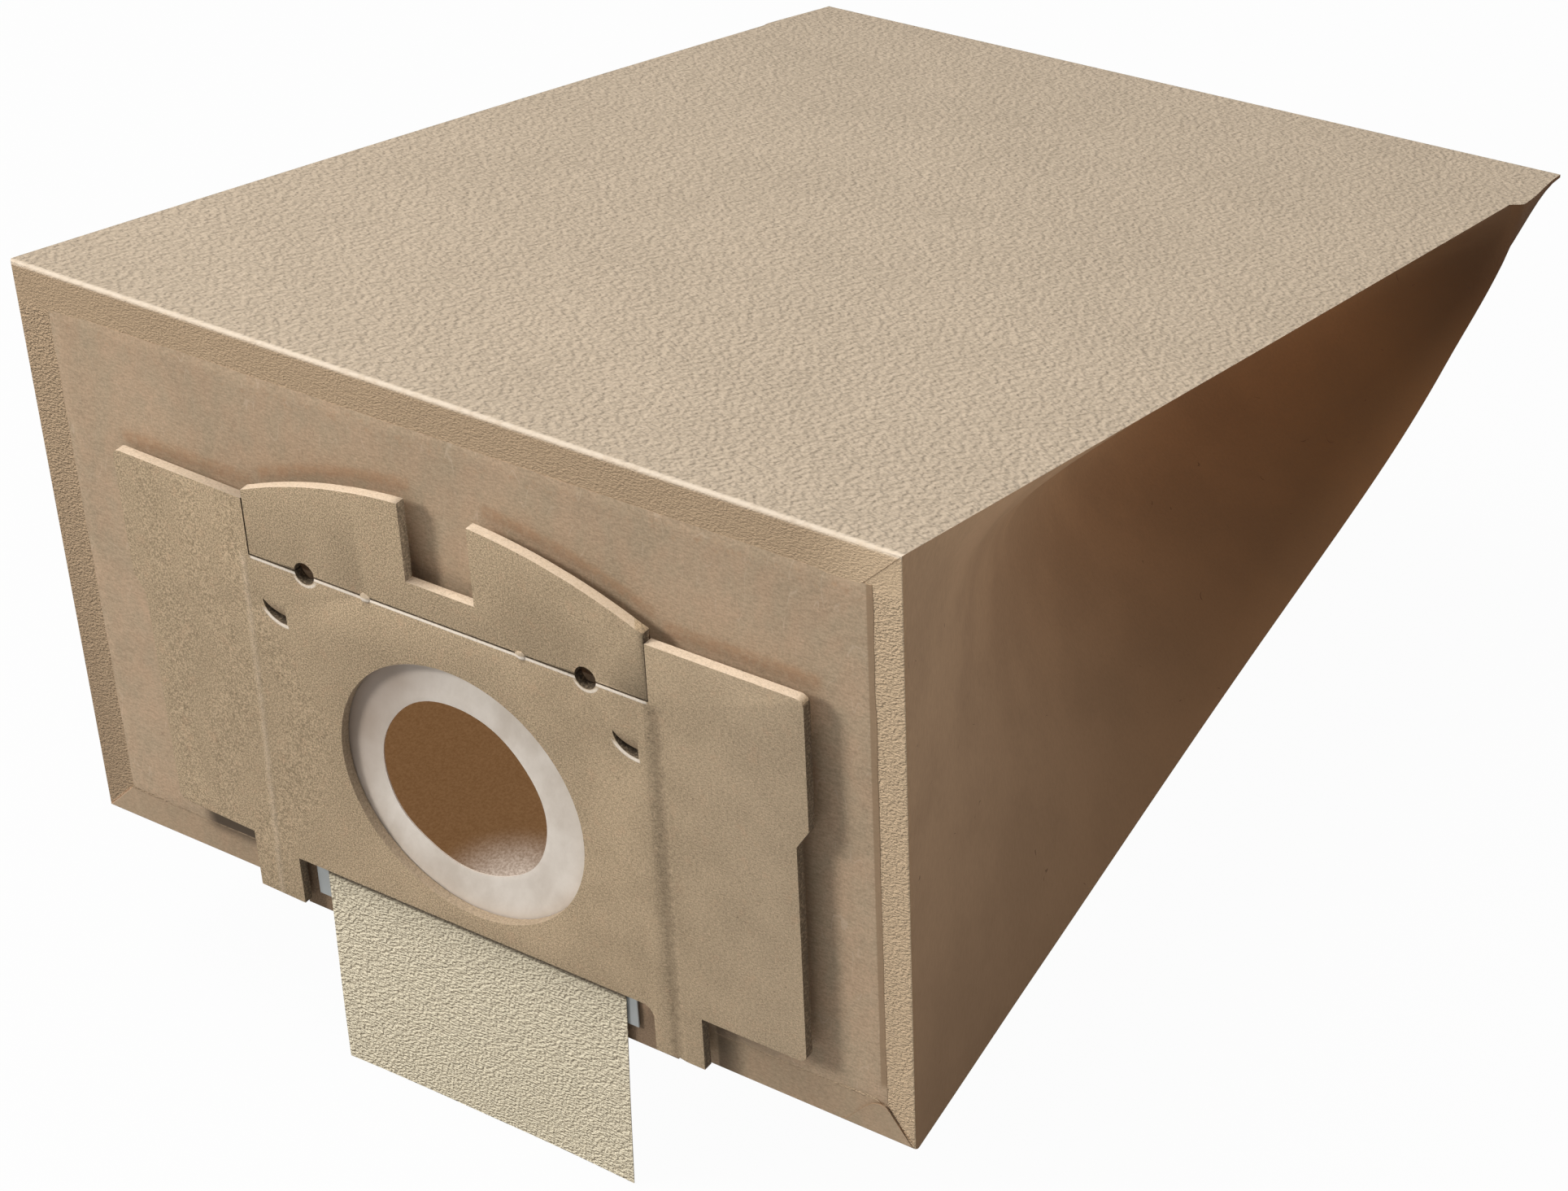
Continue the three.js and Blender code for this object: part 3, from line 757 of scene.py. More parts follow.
class Bench:
    """The few moves that every piece needs."""

    @staticmethod
    def clear() -> None:
        """Leaves nothing selected."""
        if bpy.context.object and bpy.context.object.mode != "OBJECT":
            bpy.ops.object.mode_set(mode="OBJECT")
        bpy.ops.object.select_all(action="DESELECT")

    @classmethod
    def take(cls, piece: bpy.types.Object) -> bpy.types.Object:
        """Selects one piece and makes it the active one."""
        cls.clear()
        piece.select_set(True)
        bpy.context.view_layer.objects.active = piece
        return piece

    @classmethod
    def named(cls, name: str) -> bpy.types.Object:
        """Names the piece that an operator has just made."""
        piece = bpy.context.object
        piece.name = name
        piece.data.name = name
        return piece

    @classmethod
    def settle(cls, piece: bpy.types.Object) -> None:
        """Moves a piece's place, turn and scale into its mesh."""
        cls.take(piece)
        bpy.ops.object.transform_apply(location=True, rotation=True, scale=True)

    @classmethod
    def tidy(cls, piece: bpy.types.Object, distance: float = 0.002) -> None:
        """Merges doubled points and turns the faces outwards.

        Args:
            piece: the piece.
            distance: the reach of the merge, in millimetres.
        """
        cls.take(piece)
        bpy.ops.object.mode_set(mode="EDIT")
        bpy.ops.mesh.select_all(action="SELECT")
        bpy.ops.mesh.remove_doubles(threshold=distance * MM)
        bpy.ops.mesh.normals_make_consistent(inside=False)
        bpy.ops.object.mode_set(mode="OBJECT")

    @classmethod
    def modify(cls, piece: bpy.types.Object, kind: str, **settings: Any) -> None:
        """Adds a modifier and applies it.

        Args:
            piece: the piece.
            kind: the modifier's type.
            settings: its settings.
        """
        cls.take(piece)
        modifier = piece.modifiers.new(kind.lower(), kind)
        for key, value in settings.items():
            setattr(modifier, key, value)
        bpy.ops.object.modifier_apply(modifier=modifier.name)

    @classmethod
    def cut(cls, piece: bpy.types.Object, cutter: bpy.types.Object) -> None:
        """Cuts one closed shape out of another and removes the cutter.

        Args:
            piece: the piece that is cut.
            cutter: the shape that is taken away.
        """
        cls.modify(piece, "BOOLEAN", operation="DIFFERENCE", solver="EXACT", object=cutter)
        bpy.data.objects.remove(cutter)

    @classmethod
    def round_cutter(cls, x: float, z: float, radius: float, front: float, back: float) -> bpy.types.Object:
        """A round cutter that runs along Y.

        Args:
            x: the axis's place.
            z: the axis's place.
            radius: its radius.
            front: where it starts.
            back: where it ends.

        Returns:
            The cutter.
        """
        cls.clear()
        bpy.ops.mesh.primitive_cylinder_add(
            vertices=128,
            radius=radius * MM,
            depth=(back - front) * MM,
            location=(x * MM, (front + back) / 2 * MM, z * MM),
            rotation=(math.pi / 2, 0, 0),
        )
        cutter = cls.named("cutter")
        cls.settle(cutter)
        return cutter

    @classmethod
    def smooth(cls, piece: bpy.types.Object, angle: float) -> None:
        """Shades a piece smooth, except over edges sharper than an angle in degrees."""
        cls.take(piece)
        bpy.ops.object.shade_smooth_by_angle(angle=math.radians(angle))

    @classmethod
    def copy_of(cls, node: str, name: str) -> bpy.types.Object:
        """A copy of a CAD node that can be worked on.

        Args:
            node: the node.
            name: the copy's name.

        Returns:
            The copy, with a mesh of its own.
        """
        cls.take(frame["nodes"][node])
        bpy.ops.object.duplicate()
        piece = cls.named(name)
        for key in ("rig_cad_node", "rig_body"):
            if key in piece:
                del piece[key]
        piece.parent = None
        return piece

    @staticmethod
    def zone_layer(piece: bpy.types.Object) -> Any:
        """A new layer of zone colours for the corners of a mesh."""
        return piece.data.color_attributes.new(name=ZONES, type="FLOAT_COLOR", domain="CORNER").data

    @classmethod
    def mark(cls, piece: bpy.types.Object, color_of: Callable[[bpy.types.MeshPolygon], Color]) -> None:
        """Paints zone colours on a mesh, face by face.

        Args:
            piece: the piece.
            color_of: gives the colour of a face.
        """
        corners = cls.zone_layer(piece)
        for face in piece.data.polygons:
            color = (*color_of(face), 1.0)
            for corner in face.loop_indices:
                corners[corner].color = color

    @classmethod
    def dress(cls, piece: bpy.types.Object, finish: bpy.types.Material, slot: str, *nodes: str) -> None:
        """Gives a piece its material and its body, and hides the CAD nodes that it replaces.

        Args:
            piece: the piece.
            finish: its material.
            slot: not used.
            nodes: the CAD nodes that it replaces.
        """
        piece.data.materials.clear()
        piece.data.materials.append(finish)
        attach(piece, "root")
        if nodes:
            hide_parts(*nodes)
        log.info("%s: %d faces", piece.name, len(piece.data.polygons))


def ease(value: float, low: float, high: float) -> float:
    """A smooth step from 0 at low to 1 at high."""
    share = min(1.0, max(0.0, (value - low) / (high - low)))
    return share * share * (3 - 2 * share)


def ripple(x: float, y: float, z: float, size: float) -> float:
    """Smooth noise between -1 and 1 whose swells are about size millimetres long."""
    return noise.noise(Vector((x, y, z)) / size)


@dataclass
class Layers:
    """The depths of the flat layers, from the collar's front face back to the bag's paper."""

    board: float = 2.0
    tongue: float = 0.25
    membrane: float = 0.75
    back_board: float = 1.5
    patch: float = 0.25

    @property
    def membrane_front(self) -> float:
        """The membrane's front face."""
        return self.board + self.tongue

    @property
    def patch_front(self) -> float:
        """The cover sheet's front face."""
        return self.membrane_front + self.membrane + self.back_board

    @property
    def bag_front(self) -> float:
        """The bag's front face."""
        return self.patch_front + self.patch


@dataclass
class PaperBag:
    """The folded bag: a wedge with gusseted sides and a flat tail, hollow behind its inlet."""

    layers: Layers
    width: float = 190
    height: float = 124.2
    depth: float = 266
    tail_height: float = 67.2
    tail_twist: float = 1.4
    tail_thick: float = 2.5
    tail_end_thick: float = 0.7
    tail_fold: float = 28
    tail_narrower: float = 1.2
    tail_lip: float = 0.5
    right_lip: float = 1.7
    lip_run: float = 3
    top_crown: float = 0.1
    side_bow: float = 0.3
    roll: float = 0.6
    belly: float = 8.6
    belly_shift: float = 3
    wave: float = 0.45
    wave_length: float = 48
    crinkle: float = 0.16
    crinkle_length: float = 17
    slack: float = 4.4
    slack_reach: float = 45
    tail_swell: float = 7.6
    tail_swell_start: float = 208
    front_lean: float = 0.8
    lean_reach: float = 40
    plies_meet: float = 16
    fold_round: float = 0.9
    wall: float = 0.5
    gusset_depth: float = 45
    gusset_shift: float = 1.3
    crease_front: float = 0.1
    crease_tail: float = 0.5
    crease_settled: float = 0.6
    crease_sharpness: float = 4
    collar_shift: float = 3
    floor_drop: float = 76.5
    passage_radius: float = 22
    passage_x: float = -0.9
    passage_z: float = -33.8
    flap_step: float = 0.12
    tab_left: float = 76.6
    tab_peak: float = 86.2
    tab_right: float = 91.2
    tab_foot: float = -76.6
    tab_top: float = -69.3
    tab_lift: float = 0.3
    tab_gap: float = 0.08
    tab_round: float = 1.2
    tab_thick: float = 0.1
    flap_width: float = 16
    cutter_over: float = 6
    side_rim: float = 2.5
    panel_near: float = 1.2
    panel_steps: int = 30
    crease_steps: int = 8
    side_steps: int = 16
    length_steps: int = 72
    fold_steps: int = 4
    tail_steps: int = 6
    smooth_below: float = 38

    @property
    def body(self) -> float:
        """The length up to the flattened tail."""
        return self.depth - self.tail_fold

    def top(self, y: float) -> float:
        """The top panel's height at a distance from the front."""
        along = y / self.depth
        crown = self.top_crown * math.sin(math.pi * along)
        return self.height + (self.tail_height - self.height) * along + crown

    def bottom(self, y: float) -> float:
        """The bottom panel's height at a distance from the front."""
        if y >= self.body:
            flat = ease(y, self.body - 10, self.depth)
            left = (self.depth - y) / self.tail_fold
            thick = self.tail_thick + (self.tail_end_thick - self.tail_thick) * flat
            return self.top(y) - thick - self.tail_swell * left**1.7
        along = y / self.body
        sag = self.belly * math.sin(math.pi * along**self.belly_shift)
        slack = self.slack * (1 - math.exp(-((max(0.0, y) / self.slack_reach) ** 1.3)))
        slack += (self.tail_swell - self.slack) * ease(y, self.tail_swell_start, self.body)
        return (self.top(self.body) - self.tail_thick) * along - sag - slack

    def half(self, y: float) -> float:
        """Half the width at a distance from the front."""
        drawn = self.tail_narrower * y / self.depth
        drawn += self.side_bow * math.sin(math.pi * min(1.0, y / self.body))
        return self.width / 2 - drawn + self.tail_lip * self.spread(y)

    def spread(self, y: float) -> float:
        """The share by which the flattened tail's sides stand out, from its fold to its end."""
        full = self.body + self.lip_run
        return ease(y, self.body, full) * (1 - ease(y, full, self.depth))

    def low_half(self, y: float) -> float:
        """Half the width of the bottom panel, which isn't drawn in as the top is."""
        return self.width / 2 - self.tail_narrower * ease(y, self.body, self.depth)

    def lean(self, x: float, y: float) -> float:
        """How far the bottom's right end hangs lower at the front."""
        return self.front_lean * ease(x, -70, 55) * (1 - ease(y, 0, self.lean_reach))

    def crease(self, y: float) -> float:
        """The side crease's place, as a share of the height from the top down."""
        settled = ease(y, 0, self.body * self.crease_settled)
        return self.crease_front + (self.crease_tail - self.crease_front) * settled

    def gusset(self, y: float, share: float) -> float:
        """How far in the side lies at a share of the height."""
        if y >= self.body or share <= 0 or share >= 1:
            return 0.0
        deep = self.gusset_depth * math.sin(math.pi * (y / self.body) ** self.gusset_shift)
        crease = self.crease(y)
        above = (share / crease) ** -self.crease_sharpness
        below = ((1 - share) / (1 - crease)) ** -self.crease_sharpness
        return deep * (above + below) ** (-1 / self.crease_sharpness)

    def shares(self, y: float) -> list[float]:
        """The heights at which a side is drawn."""
        crease = self.crease(y)
        upper = [crease * i / self.crease_steps for i in range(self.crease_steps)]
        lower = [crease + (1 - crease) * i / self.side_steps for i in range(self.side_steps)]
        return upper + lower

    def section(self, y: float, rounding: float) -> list[Vector]:
        """One cross-section of the outside, clockwise from the top left as seen from the front.

        Args:
            y: the distance from the front.
            rounding: how far the front folds draw it in.

        Returns:
            Its points, in the bag's own millimetres.
        """
        half = self.half(y) - rounding
        low = self.low_half(y) - rounding
        top = self.top(y) - rounding
        bottom = self.bottom(y) + rounding * 0.6
        twist = self.tail_twist * y / self.depth / half
        calm = ease(y, 0, 25) * (1 - ease(y, self.body - 12, self.body))
        points: list[Vector] = []

        def add(x: float, z: float, out_x: float, out_z: float, edge: float, low: float = 0) -> None:
            waves = self.wave * ripple(x, y, z, self.wave_length)
            crinkles = self.crinkle * ripple(x, y, z, self.crinkle_length)
            swell = calm * edge * (waves + crinkles)
            right = self.right_lip * self.spread(y) * max(0.0, x) / half * (1 - low)
            turned = (twist - self.roll * math.sin(math.pi * y / self.depth) / half * (1 - low)) * x
            points.append(Vector((x + right + out_x * swell, y, z + turned + out_z * swell)))

        for i in range(self.panel_steps):
            share = i / self.panel_steps
            add(-half + 2 * half * share, top, 0, 1, math.sin(math.pi * share) ** 0.5)
        shares = self.shares(y)
        for share in shares:
            side = half + (low - half) * share
            drop = bottom - self.lean(side, y) - top
            edge = math.sin(math.pi * share) ** 0.5
            add(side - self.gusset(y, share), top + drop * share, 1, 0, edge, share)
        for i in range(self.panel_steps):
            share = i / self.panel_steps
            x = low - 2 * low * share
            add(x, bottom - self.lean(x, y), 0, -1, math.sin(math.pi * share) ** 0.5, 1)
        for share in [1.0, *reversed(shares[1:])]:
            edge = max(0.0, math.sin(math.pi * share)) ** 0.5
            side = half + (low - half) * share
            add(-side + self.gusset(y, share), top + (bottom - top) * share, -1, 0, edge, share)
        return points

    @staticmethod
    def inside(section: list[Vector], wall: float) -> list[Vector]:
        """The same section one wall further in.

        Args:
            section: the outer section.
            wall: the wall's thickness.

        Returns:
            The inner section's points.
        """
        moved = []
        for i, point in enumerate(section):
            before, after = section[i - 1], section[(i + 1) % len(section)]
            first = Vector((point.x - before.x, point.z - before.z)).normalized()
            second = Vector((after.x - point.x, after.z - point.z)).normalized()
            inward = Vector((first.y + second.y, -first.x - second.x)).normalized()
            reach = wall / (inward.x * first.y - inward.y * first.x)
            moved.append(Vector((point.x + inward.x * reach, point.y, point.z + inward.y * reach)))
        return moved

    def loft(self, name: str, sections: list[list[Vector]]) -> bpy.types.Object:
        """A closed tube through cross-sections, shaped from a flat grid.

        Args:
            name: its name.
            sections: the sections, from the front back.

        Returns:
            The closed mesh.
        """
        around, along = len(sections[0]), len(sections) - 1
        Bench.clear()
        bpy.ops.mesh.primitive_grid_add(x_subdivisions=around, y_subdivisions=along, size=1)
        piece = Bench.named(name)
        for vertex in piece.data.vertices:
            i = round((vertex.co.x + 0.5) * around) % around
            j = round((vertex.co.y + 0.5) * along)
            vertex.co = self.placed(sections[j][i])
        Bench.take(piece)
        bpy.ops.object.mode_set(mode="EDIT")
        bpy.ops.mesh.select_all(action="SELECT")
        bpy.ops.mesh.remove_doubles(threshold=0.001 * MM)
        bpy.ops.mesh.select_all(action="DESELECT")
        bpy.ops.mesh.select_mode(type="EDGE")
        bpy.ops.mesh.select_non_manifold()
        bpy.ops.mesh.edge_face_add()
        bpy.ops.mesh.select_all(action="SELECT")
        bpy.ops.mesh.normals_make_consistent(inside=False)
        bpy.ops.object.mode_set(mode="OBJECT")
        return piece

    def placed(self, point: Vector) -> Vector:
        """A point of the bag's own millimetres, in metres in the row's frame."""
        return (point + Vector((-self.collar_shift, self.layers.bag_front, -self.floor_drop))) * MM

    def build(self) -> bpy.types.Object:
        """The finished shell."""
        outer = []
        for step in range(self.fold_steps + 1):
            turn = math.pi / 2 * step / self.fold_steps
            back, inward = 1 - math.cos(turn), 1 - math.sin(turn)
            outer.append(self.section(self.fold_round * back, self.fold_round * inward))
        run = self.body - self.fold_round
        steps = self.length_steps
        outer += [self.section(self.fold_round + run * i / steps, 0) for i in range(1, steps + 1)]
        outer += [self.section(self.body + self.lip_run * share, 0) for share in (0.33, 0.66, 1.0)]
        rest, steps = self.tail_fold - self.lip_run, self.tail_steps
        outer += [self.section(self.body + self.lip_run + rest * i / steps, 0) for i in range(1, steps + 1)]
        shell = self.loft("folded_bag", outer)
        reach, steps = self.body - self.plies_meet - self.wall, self.length_steps
        sections = [self.section(self.wall + reach * i / steps, 0) for i in range(steps + 1)]
        Bench.cut(shell, self.loft("hollow", [self.inside(section, self.wall) for section in sections]))
        for side in (-1, 1):
            Bench.cut(shell, self.flap_cutter(side))
        front = self.layers.bag_front
        passage = (self.passage_x, self.passage_z, self.passage_radius)
        Bench.cut(shell, Bench.round_cutter(*passage, front - 2, front + 2))
        self.mark(shell)
        tab = self.corner_tab()
        self.mark(tab)
        Bench.take(shell)
        tab.select_set(True)
        bpy.ops.object.join()
        Bench.smooth(shell, self.smooth_below)
        Bench.modify(shell, "WEIGHTED_NORMAL", keep_sharp=True, weight=100)
        return shell

    def corner_tab(self) -> bpy.types.Object:
        """The curled tip of the bottom flap, at the bag's lower right corner."""
        Bench.clear()
        bpy.ops.mesh.primitive_grid_add(x_subdivisions=28, y_subdivisions=8, size=1)
        tab = Bench.named("corner_tab")
        front = self.layers.bag_front
        for vertex in tab.data.vertices:
            u, v = vertex.co.x + 0.5, vertex.co.y + 0.5
            x = self.tab_left + (self.tab_right - self.tab_left) * u
            if x < self.tab_peak:
                crest = ease(x, self.tab_left, self.tab_peak - self.tab_round) ** 0.8
            else:
                crest = (self.tab_right - x) / (self.tab_right - self.tab_peak)
            z = self.tab_foot + (self.tab_top - self.tab_foot) * v * max(0.02, crest)
            y = front - self.tab_gap - self.tab_lift * v * v * crest
            vertex.co = Vector((x, y, z)) * MM
        Bench.modify(tab, "SOLIDIFY", thickness=self.tab_thick * MM, offset=0.0)
        return tab

    def flap_cutter(self, side: int) -> bpy.types.Object:
        """A shallow cutter that sets a side flap back behind the mitred top and bottom flaps.

        Args:
            side: -1 for the left, 1 for the right.

        Returns:
            The cutter.
        """
        Bench.clear()
        bpy.ops.mesh.primitive_cube_add(size=1)
        cutter = Bench.named("flap_cutter")
        for vertex in cutter.data.vertices:
            outer, deep, upper = (part > 0 for part in vertex.co)
            off = self.cutter_over if outer else -self.flap_width
            reach = self.width / 2 + off
            z = self.height + off if upper else -off
            vertex.co = self.placed(Vector((side * reach, self.flap_step if deep else -1.0, z)))
        Bench.tidy(cutter)
        return cutter

    def mark(self, piece: bpy.types.Object) -> None:
        """Paints the zones on the mesh of a piece."""
        origin = Vector((self.collar_shift, -self.layers.bag_front, self.floor_drop))
        Bench.mark(piece, lambda face: self.zone_of(face.center / MM + origin, face.normal).value)

    def zone_of(self, centre: Vector, normal: Vector) -> Zone:
        """The zone of a face.

        Args:
            centre: its centre, in the bag's own millimetres.
            normal: its normal.

        Returns:
            The zone.
        """
        y = centre.y
        twist = self.tail_twist * y / self.depth / self.half(y) * centre.x
        flat = abs(centre.x) < self.half(y) - self.side_rim
        if normal.y < -0.7 and y < self.flap_step + 0.1:
            return Zone.EMBOSSED
        if y < self.fold_round and flat and normal.z * (centre.z - self.height / 2) > 0:
            return Zone.EMBOSSED
        for edge, out in ((self.top(y), 1), (self.bottom(y), -1)):
            if abs(centre.z - twist - edge) < self.panel_near:
                if normal.z * out > 0.3:
                    return Zone.EMBOSSED
                if normal.z * out < -0.6 and flat:
                    return Zone.INSIDE
        if normal.x * centre.x > 0 or y > self.body - self.plies_meet:
            return Zone.SMOOTH_SIDE
        return Zone.INSIDE


@dataclass
class CoverPatch:
    """The smooth sheet glued over the folded end."""

    layers: Layers
    left: float = -90.0
    right: float = 86.2
    bottom: float = -68.9
    top: float = 40.1
    lift: float = 0.04
    wave: float = 0.06
    wander: float = 0.18
    step: float = 0.1
    rim_proud: float = 0.03
    bag_middle: float = -3.0
    side_flaps: tuple[float, float] = (76, 81)
    calm_reach: tuple[float, float] = (50, 80)
    inlet_z: float = -32.5
    hole_radius: float = 22
    hole_x: float = -0.9
    hole_z: float = -33.8

    def build(self) -> bpy.types.Object:
        """The finished sheet."""
        Bench.clear()
        bpy.ops.mesh.primitive_grid_add(x_subdivisions=120, y_subdivisions=76, size=1)
        piece = Bench.named("cover_sheet")
        for vertex in piece.data.vertices:
            u, v = vertex.co.x + 0.5, vertex.co.y + 0.5
            x = self.left + (self.right - self.left) * u
            z = self.bottom + (self.top - self.bottom) * v
            rim = min(x - self.left, self.right - x, z - self.bottom, self.top - z)
            lifted = self.lift * (1 - ease(rim, 0, 3)) * max(0.0, 0.5 + ripple(x, 0, z, 26))
            calm = ease(rim, 0, 8) * ease(math.hypot(x, z - self.inlet_z), *self.calm_reach)
            swell = self.wave * calm * ripple(x, 5, z, 30)
            wander = self.wander * ripple(x, 9, z, 7) * (1 - ease(rim, 0, 2))
            sunk = self.step * ease(abs(x - self.bag_middle), *self.side_flaps)
            flush = (self.layers.patch - self.rim_proud) * (1 - ease(rim, 0, 1.6))
            y = self.layers.patch_front - lifted + swell + sunk + flush
            vertex.co = Vector((x + wander, y, z + wander)) * MM
        Bench.take(piece)
        Bench.modify(piece, "SOLIDIFY", thickness=self.layers.patch * MM, offset=-1.0)
        front = self.layers.patch_front
        Bench.cut(piece, Bench.round_cutter(self.hole_x, self.hole_z, self.hole_radius, front - 2, front + 2))
        Bench.tidy(piece)
        Bench.smooth(piece, 40)
        return piece


@dataclass
class Collar:
    """The die-cut board, taken from its solid and given rounded, pressed edges."""

    tear_height: float = 5.0
    edge: float = 0.42
    wing_start: float = 47.0
    wing_bend: float = 1.0
    wing_half: float = 75.4
    groove: float = 44.3
    groove_half: float = 0.8
    groove_spread: float = 1.15
    groove_depth: float = 0.3
    groove_round: float = 0.6
    groove_shift: float = 0.45
    cad_slit_top: float = 5.25
    cad_ear_side: float = 43.45
    cad_foot_inner: float = 40.9
    cad_foot_round: float = 38.0
    cad_foot_outer: float = 51.5
    middle_end: float = -64.0
    wing_end: float = -61.9
    feet_below: float = -73.6
    slit_top: float = 5.08
    ear_left: float = 43.6
    ear_right: float = 43.78
    left_foot_end: float = -75.0
    right_foot_end: float = -74.0
    left_foot_inner: float = -42.6
    right_foot_shift: float = -0.9
    inlet_z: float = -32.5
    inlet_radius: float = 27.4
    tear_hole_x: float = 30.9
    tear_hole_radius: float = 2.25
    bridge_x: float = 17.1
    nick_top: float = -4.0
    nick_sides: tuple[float, float] = (-36.8, 41.0)
    nick_width: float = 5.2
    nick_height: float = 4.2
    nick_depth: float = 1.45
    flap_share: float = 0.72
    ear_half: float = 43.7
    ear_top: float = 18.4
    inlet_wall: Color = (0.42, 0.0, 0.34)
    shade_turned_away: float = 0.85

    def build(self) -> bpy.types.Object:
        """The finished board."""
        piece = Bench.copy_of("front_board", "collar_board")
        bpy.ops.object.mode_set(mode="EDIT")
        bpy.ops.mesh.select_all(action="SELECT")
        bpy.ops.mesh.remove_doubles(threshold=0.005 * MM)
        bpy.ops.mesh.dissolve_limited(angle_limit=math.radians(2))
        self.widen_groove(piece)
        self.fit_edges(piece)
        self.press(piece, self.is_groove, self.groove_round, 5)
        self.press(piece, self.is_rim, self.edge, 3)
        bpy.ops.object.mode_set(mode="OBJECT")
        Bench.take(piece)
        Bench.modify(piece, "TRIANGULATE")
        Bench.mark(piece, self.edge_color)
        extras = [self.flap(side) for side in self.nick_sides]
        extras += [self.bridge(side * self.bridge_x) for side in (-1, 1)]
        Bench.clear()
        for extra in extras:
            extra.select_set(True)
        piece.select_set(True)
        bpy.context.view_layer.objects.active = piece
        bpy.ops.object.join()
        self.bend_left_wing(piece)
        Bench.smooth(piece, 40)
        return piece

    def widen_groove(self, piece: bpy.types.Object) -> None:
        """Moves the right crease's two rims apart, so that the rounding makes a soft valley.

        Args:
            piece: the board, in edit mode.
        """
        mesh = bmesh.from_edit_mesh(piece.data)
        for vertex in mesh.verts:
            off = vertex.co.x / MM - self.groove
            if vertex.co.z > (self.tear_height - 0.4) * MM:
                continue
            if abs(vertex.co.y) < 0.01 * MM and abs(abs(off) - self.groove_half) < 0.05:
                vertex.co.x += (math.copysign(self.groove_spread, off) + self.groove_shift) * MM
            elif abs(off) < 0.05 and abs(vertex.co.y / MM - 0.5) < 0.05:
                vertex.co.y = self.groove_depth * MM
                vertex.co.x += self.groove_shift * MM
        bmesh.update_edit_mesh(piece.data)

    def fit_edges(self, piece: bpy.types.Object) -> None:
        """Closes the cut lines round the ears and sets the two feet to their own sizes.

        Args:
            piece: the board, in edit mode.
        """
        mesh = bmesh.from_edit_mesh(piece.data)
        for vertex in mesh.verts:
            x, z = vertex.co.x / MM, vertex.co.z / MM
            if abs(z - self.cad_slit_top) < 0.02 and abs(x) < self.ear_left:
                z = self.slit_top
            if abs(abs(x) - self.cad_ear_side) < 0.02 and z > self.tear_height:
                x = math.copysign(self.ear_right if x > 0 else self.ear_left, x)
            if z < self.feet_below:
                z = self.left_foot_end if x < 0 else self.right_foot_end
            if z < self.middle_end and abs(x + self.cad_foot_inner) < 0.1:
                x = self.left_foot_inner
            right_inner = z < self.middle_end and self.cad_foot_round < x < self.cad_foot_inner + 0.1
            right_outer = z < self.wing_end and abs(x - self.cad_foot_outer) < 0.1
            if right_inner or right_outer:
                x += self.right_foot_shift
            vertex.co.x, vertex.co.z = x * MM, z * MM
        bmesh.update_edit_mesh(piece.data)

    def is_groove(self, edge: bmesh.types.BMEdge) -> bool:
        """Whether an edge runs along the right crease."""
        first, second = (v.co / MM for v in edge.verts)
        upright = abs(first.x - second.x) < 0.1 and abs(first.z - second.z) > 5
        reach = self.groove_half + self.groove_spread + 0.1
        middle = self.groove + self.groove_shift
        return upright and all(abs(p.x - middle) < reach and p.y < 1.0 and p.z < 4.6 for p in (first, second))

    def is_hollow(self, centre: Vector, normal: Vector) -> bool:
        """Whether a face lies in a nick, a tear hole or a cut line.

        Args:
            centre: its centre, in millimetres.
            normal: its normal.

        Returns:
            Whether it does.
        """
        x, z = centre.x, centre.z
        in_wall = abs(normal.y) < 0.5 and centre.y > 0.4
        low = -self.nick_height - 0.3 < z - self.nick_top < 0.3
        if in_wall and low and any(-self.nick_width - 0.3 < x - side < 0.3 for side in self.nick_sides):
            return True
        if math.hypot(abs(x) - self.tear_hole_x, z - self.tear_height) < self.tear_hole_radius + 0.1:
            return True
        if abs(z - self.tear_height) < 0.5 and abs(x) < self.ear_left:
            return True
        return abs(abs(x) - self.ear_half) < 0.4 and self.tear_height < z < self.ear_top

    def edge_color(self, face: bpy.types.MeshPolygon) -> Color:
        """The zone colour of a face: red for a painted highlight on a cut edge that faces the light, blue for
        painted shade in a hollow or on a wall turned from the light.

        Args:
            face: the face.

        Returns:
            Its colour.
        """
        centre, normal = face.center / MM, face.normal
        inlet = math.hypot(centre.x, centre.z - self.inlet_z) < self.inlet_radius + 0.15
        wall = abs(normal.y) < 0.6
        if inlet and wall:
            return self.inlet_wall
        # How far a face turns towards the light, for painted highlight and shade.
        lit = normal.z * 0.8 - normal.x * 0.6
        if self.is_hollow(centre, normal) and wall:
            return (0.0, 0.0, 1.0)
        # Painted shade on walls turned from the light.
        if wall and lit < -0.2 and not inlet:
            return (0.0, 0.0, self.shade_turned_away)
        cut = abs(normal.y) < 0.93 and abs(centre.x - self.groove) > 2.8 and lit > 0
        return (min(1.0, lit * 1.4) if cut else 0.0, 0.0, 0.0)

    def flap(self, side: float) -> bpy.types.Object:
        """The pressed-in quarter-moon flap of one nick, hinged at its upper right corner.

        Args:
            side: the nick's upright right side.

        Returns:
            The flap.
        """
        Bench.clear()
        bpy.ops.mesh.primitive_grid_add(x_subdivisions=16, y_subdivisions=10, size=1)
        flap = Bench.named("flap")
        shares = []
        for vertex in flap.data.vertices:
            along, share = vertex.co.x + 0.5, (vertex.co.y + 0.5) * self.flap_share
            arc = math.sqrt(max(0.0, 1 - (1 - along) ** 2))
            x = side - self.nick_width * (1 - along) * 0.98
            z = self.nick_top - self.nick_height * arc * share
            deep = 0.1 + self.nick_depth * share**1.4 * arc**0.7
            shares.append(share * arc**0.5)
            vertex.co = Vector((x, deep, z)) * MM
        # The green zone grows where the flap sinks deepest, for painted shade.
        for corner, loop in zip(Bench.zone_layer(flap), flap.data.loops):
            corner.color = (0.0, shares[loop.vertex_index], 0.0, 1.0)
        Bench.modify(flap, "SOLIDIFY", thickness=0.2 * MM, offset=0.0)
        return flap

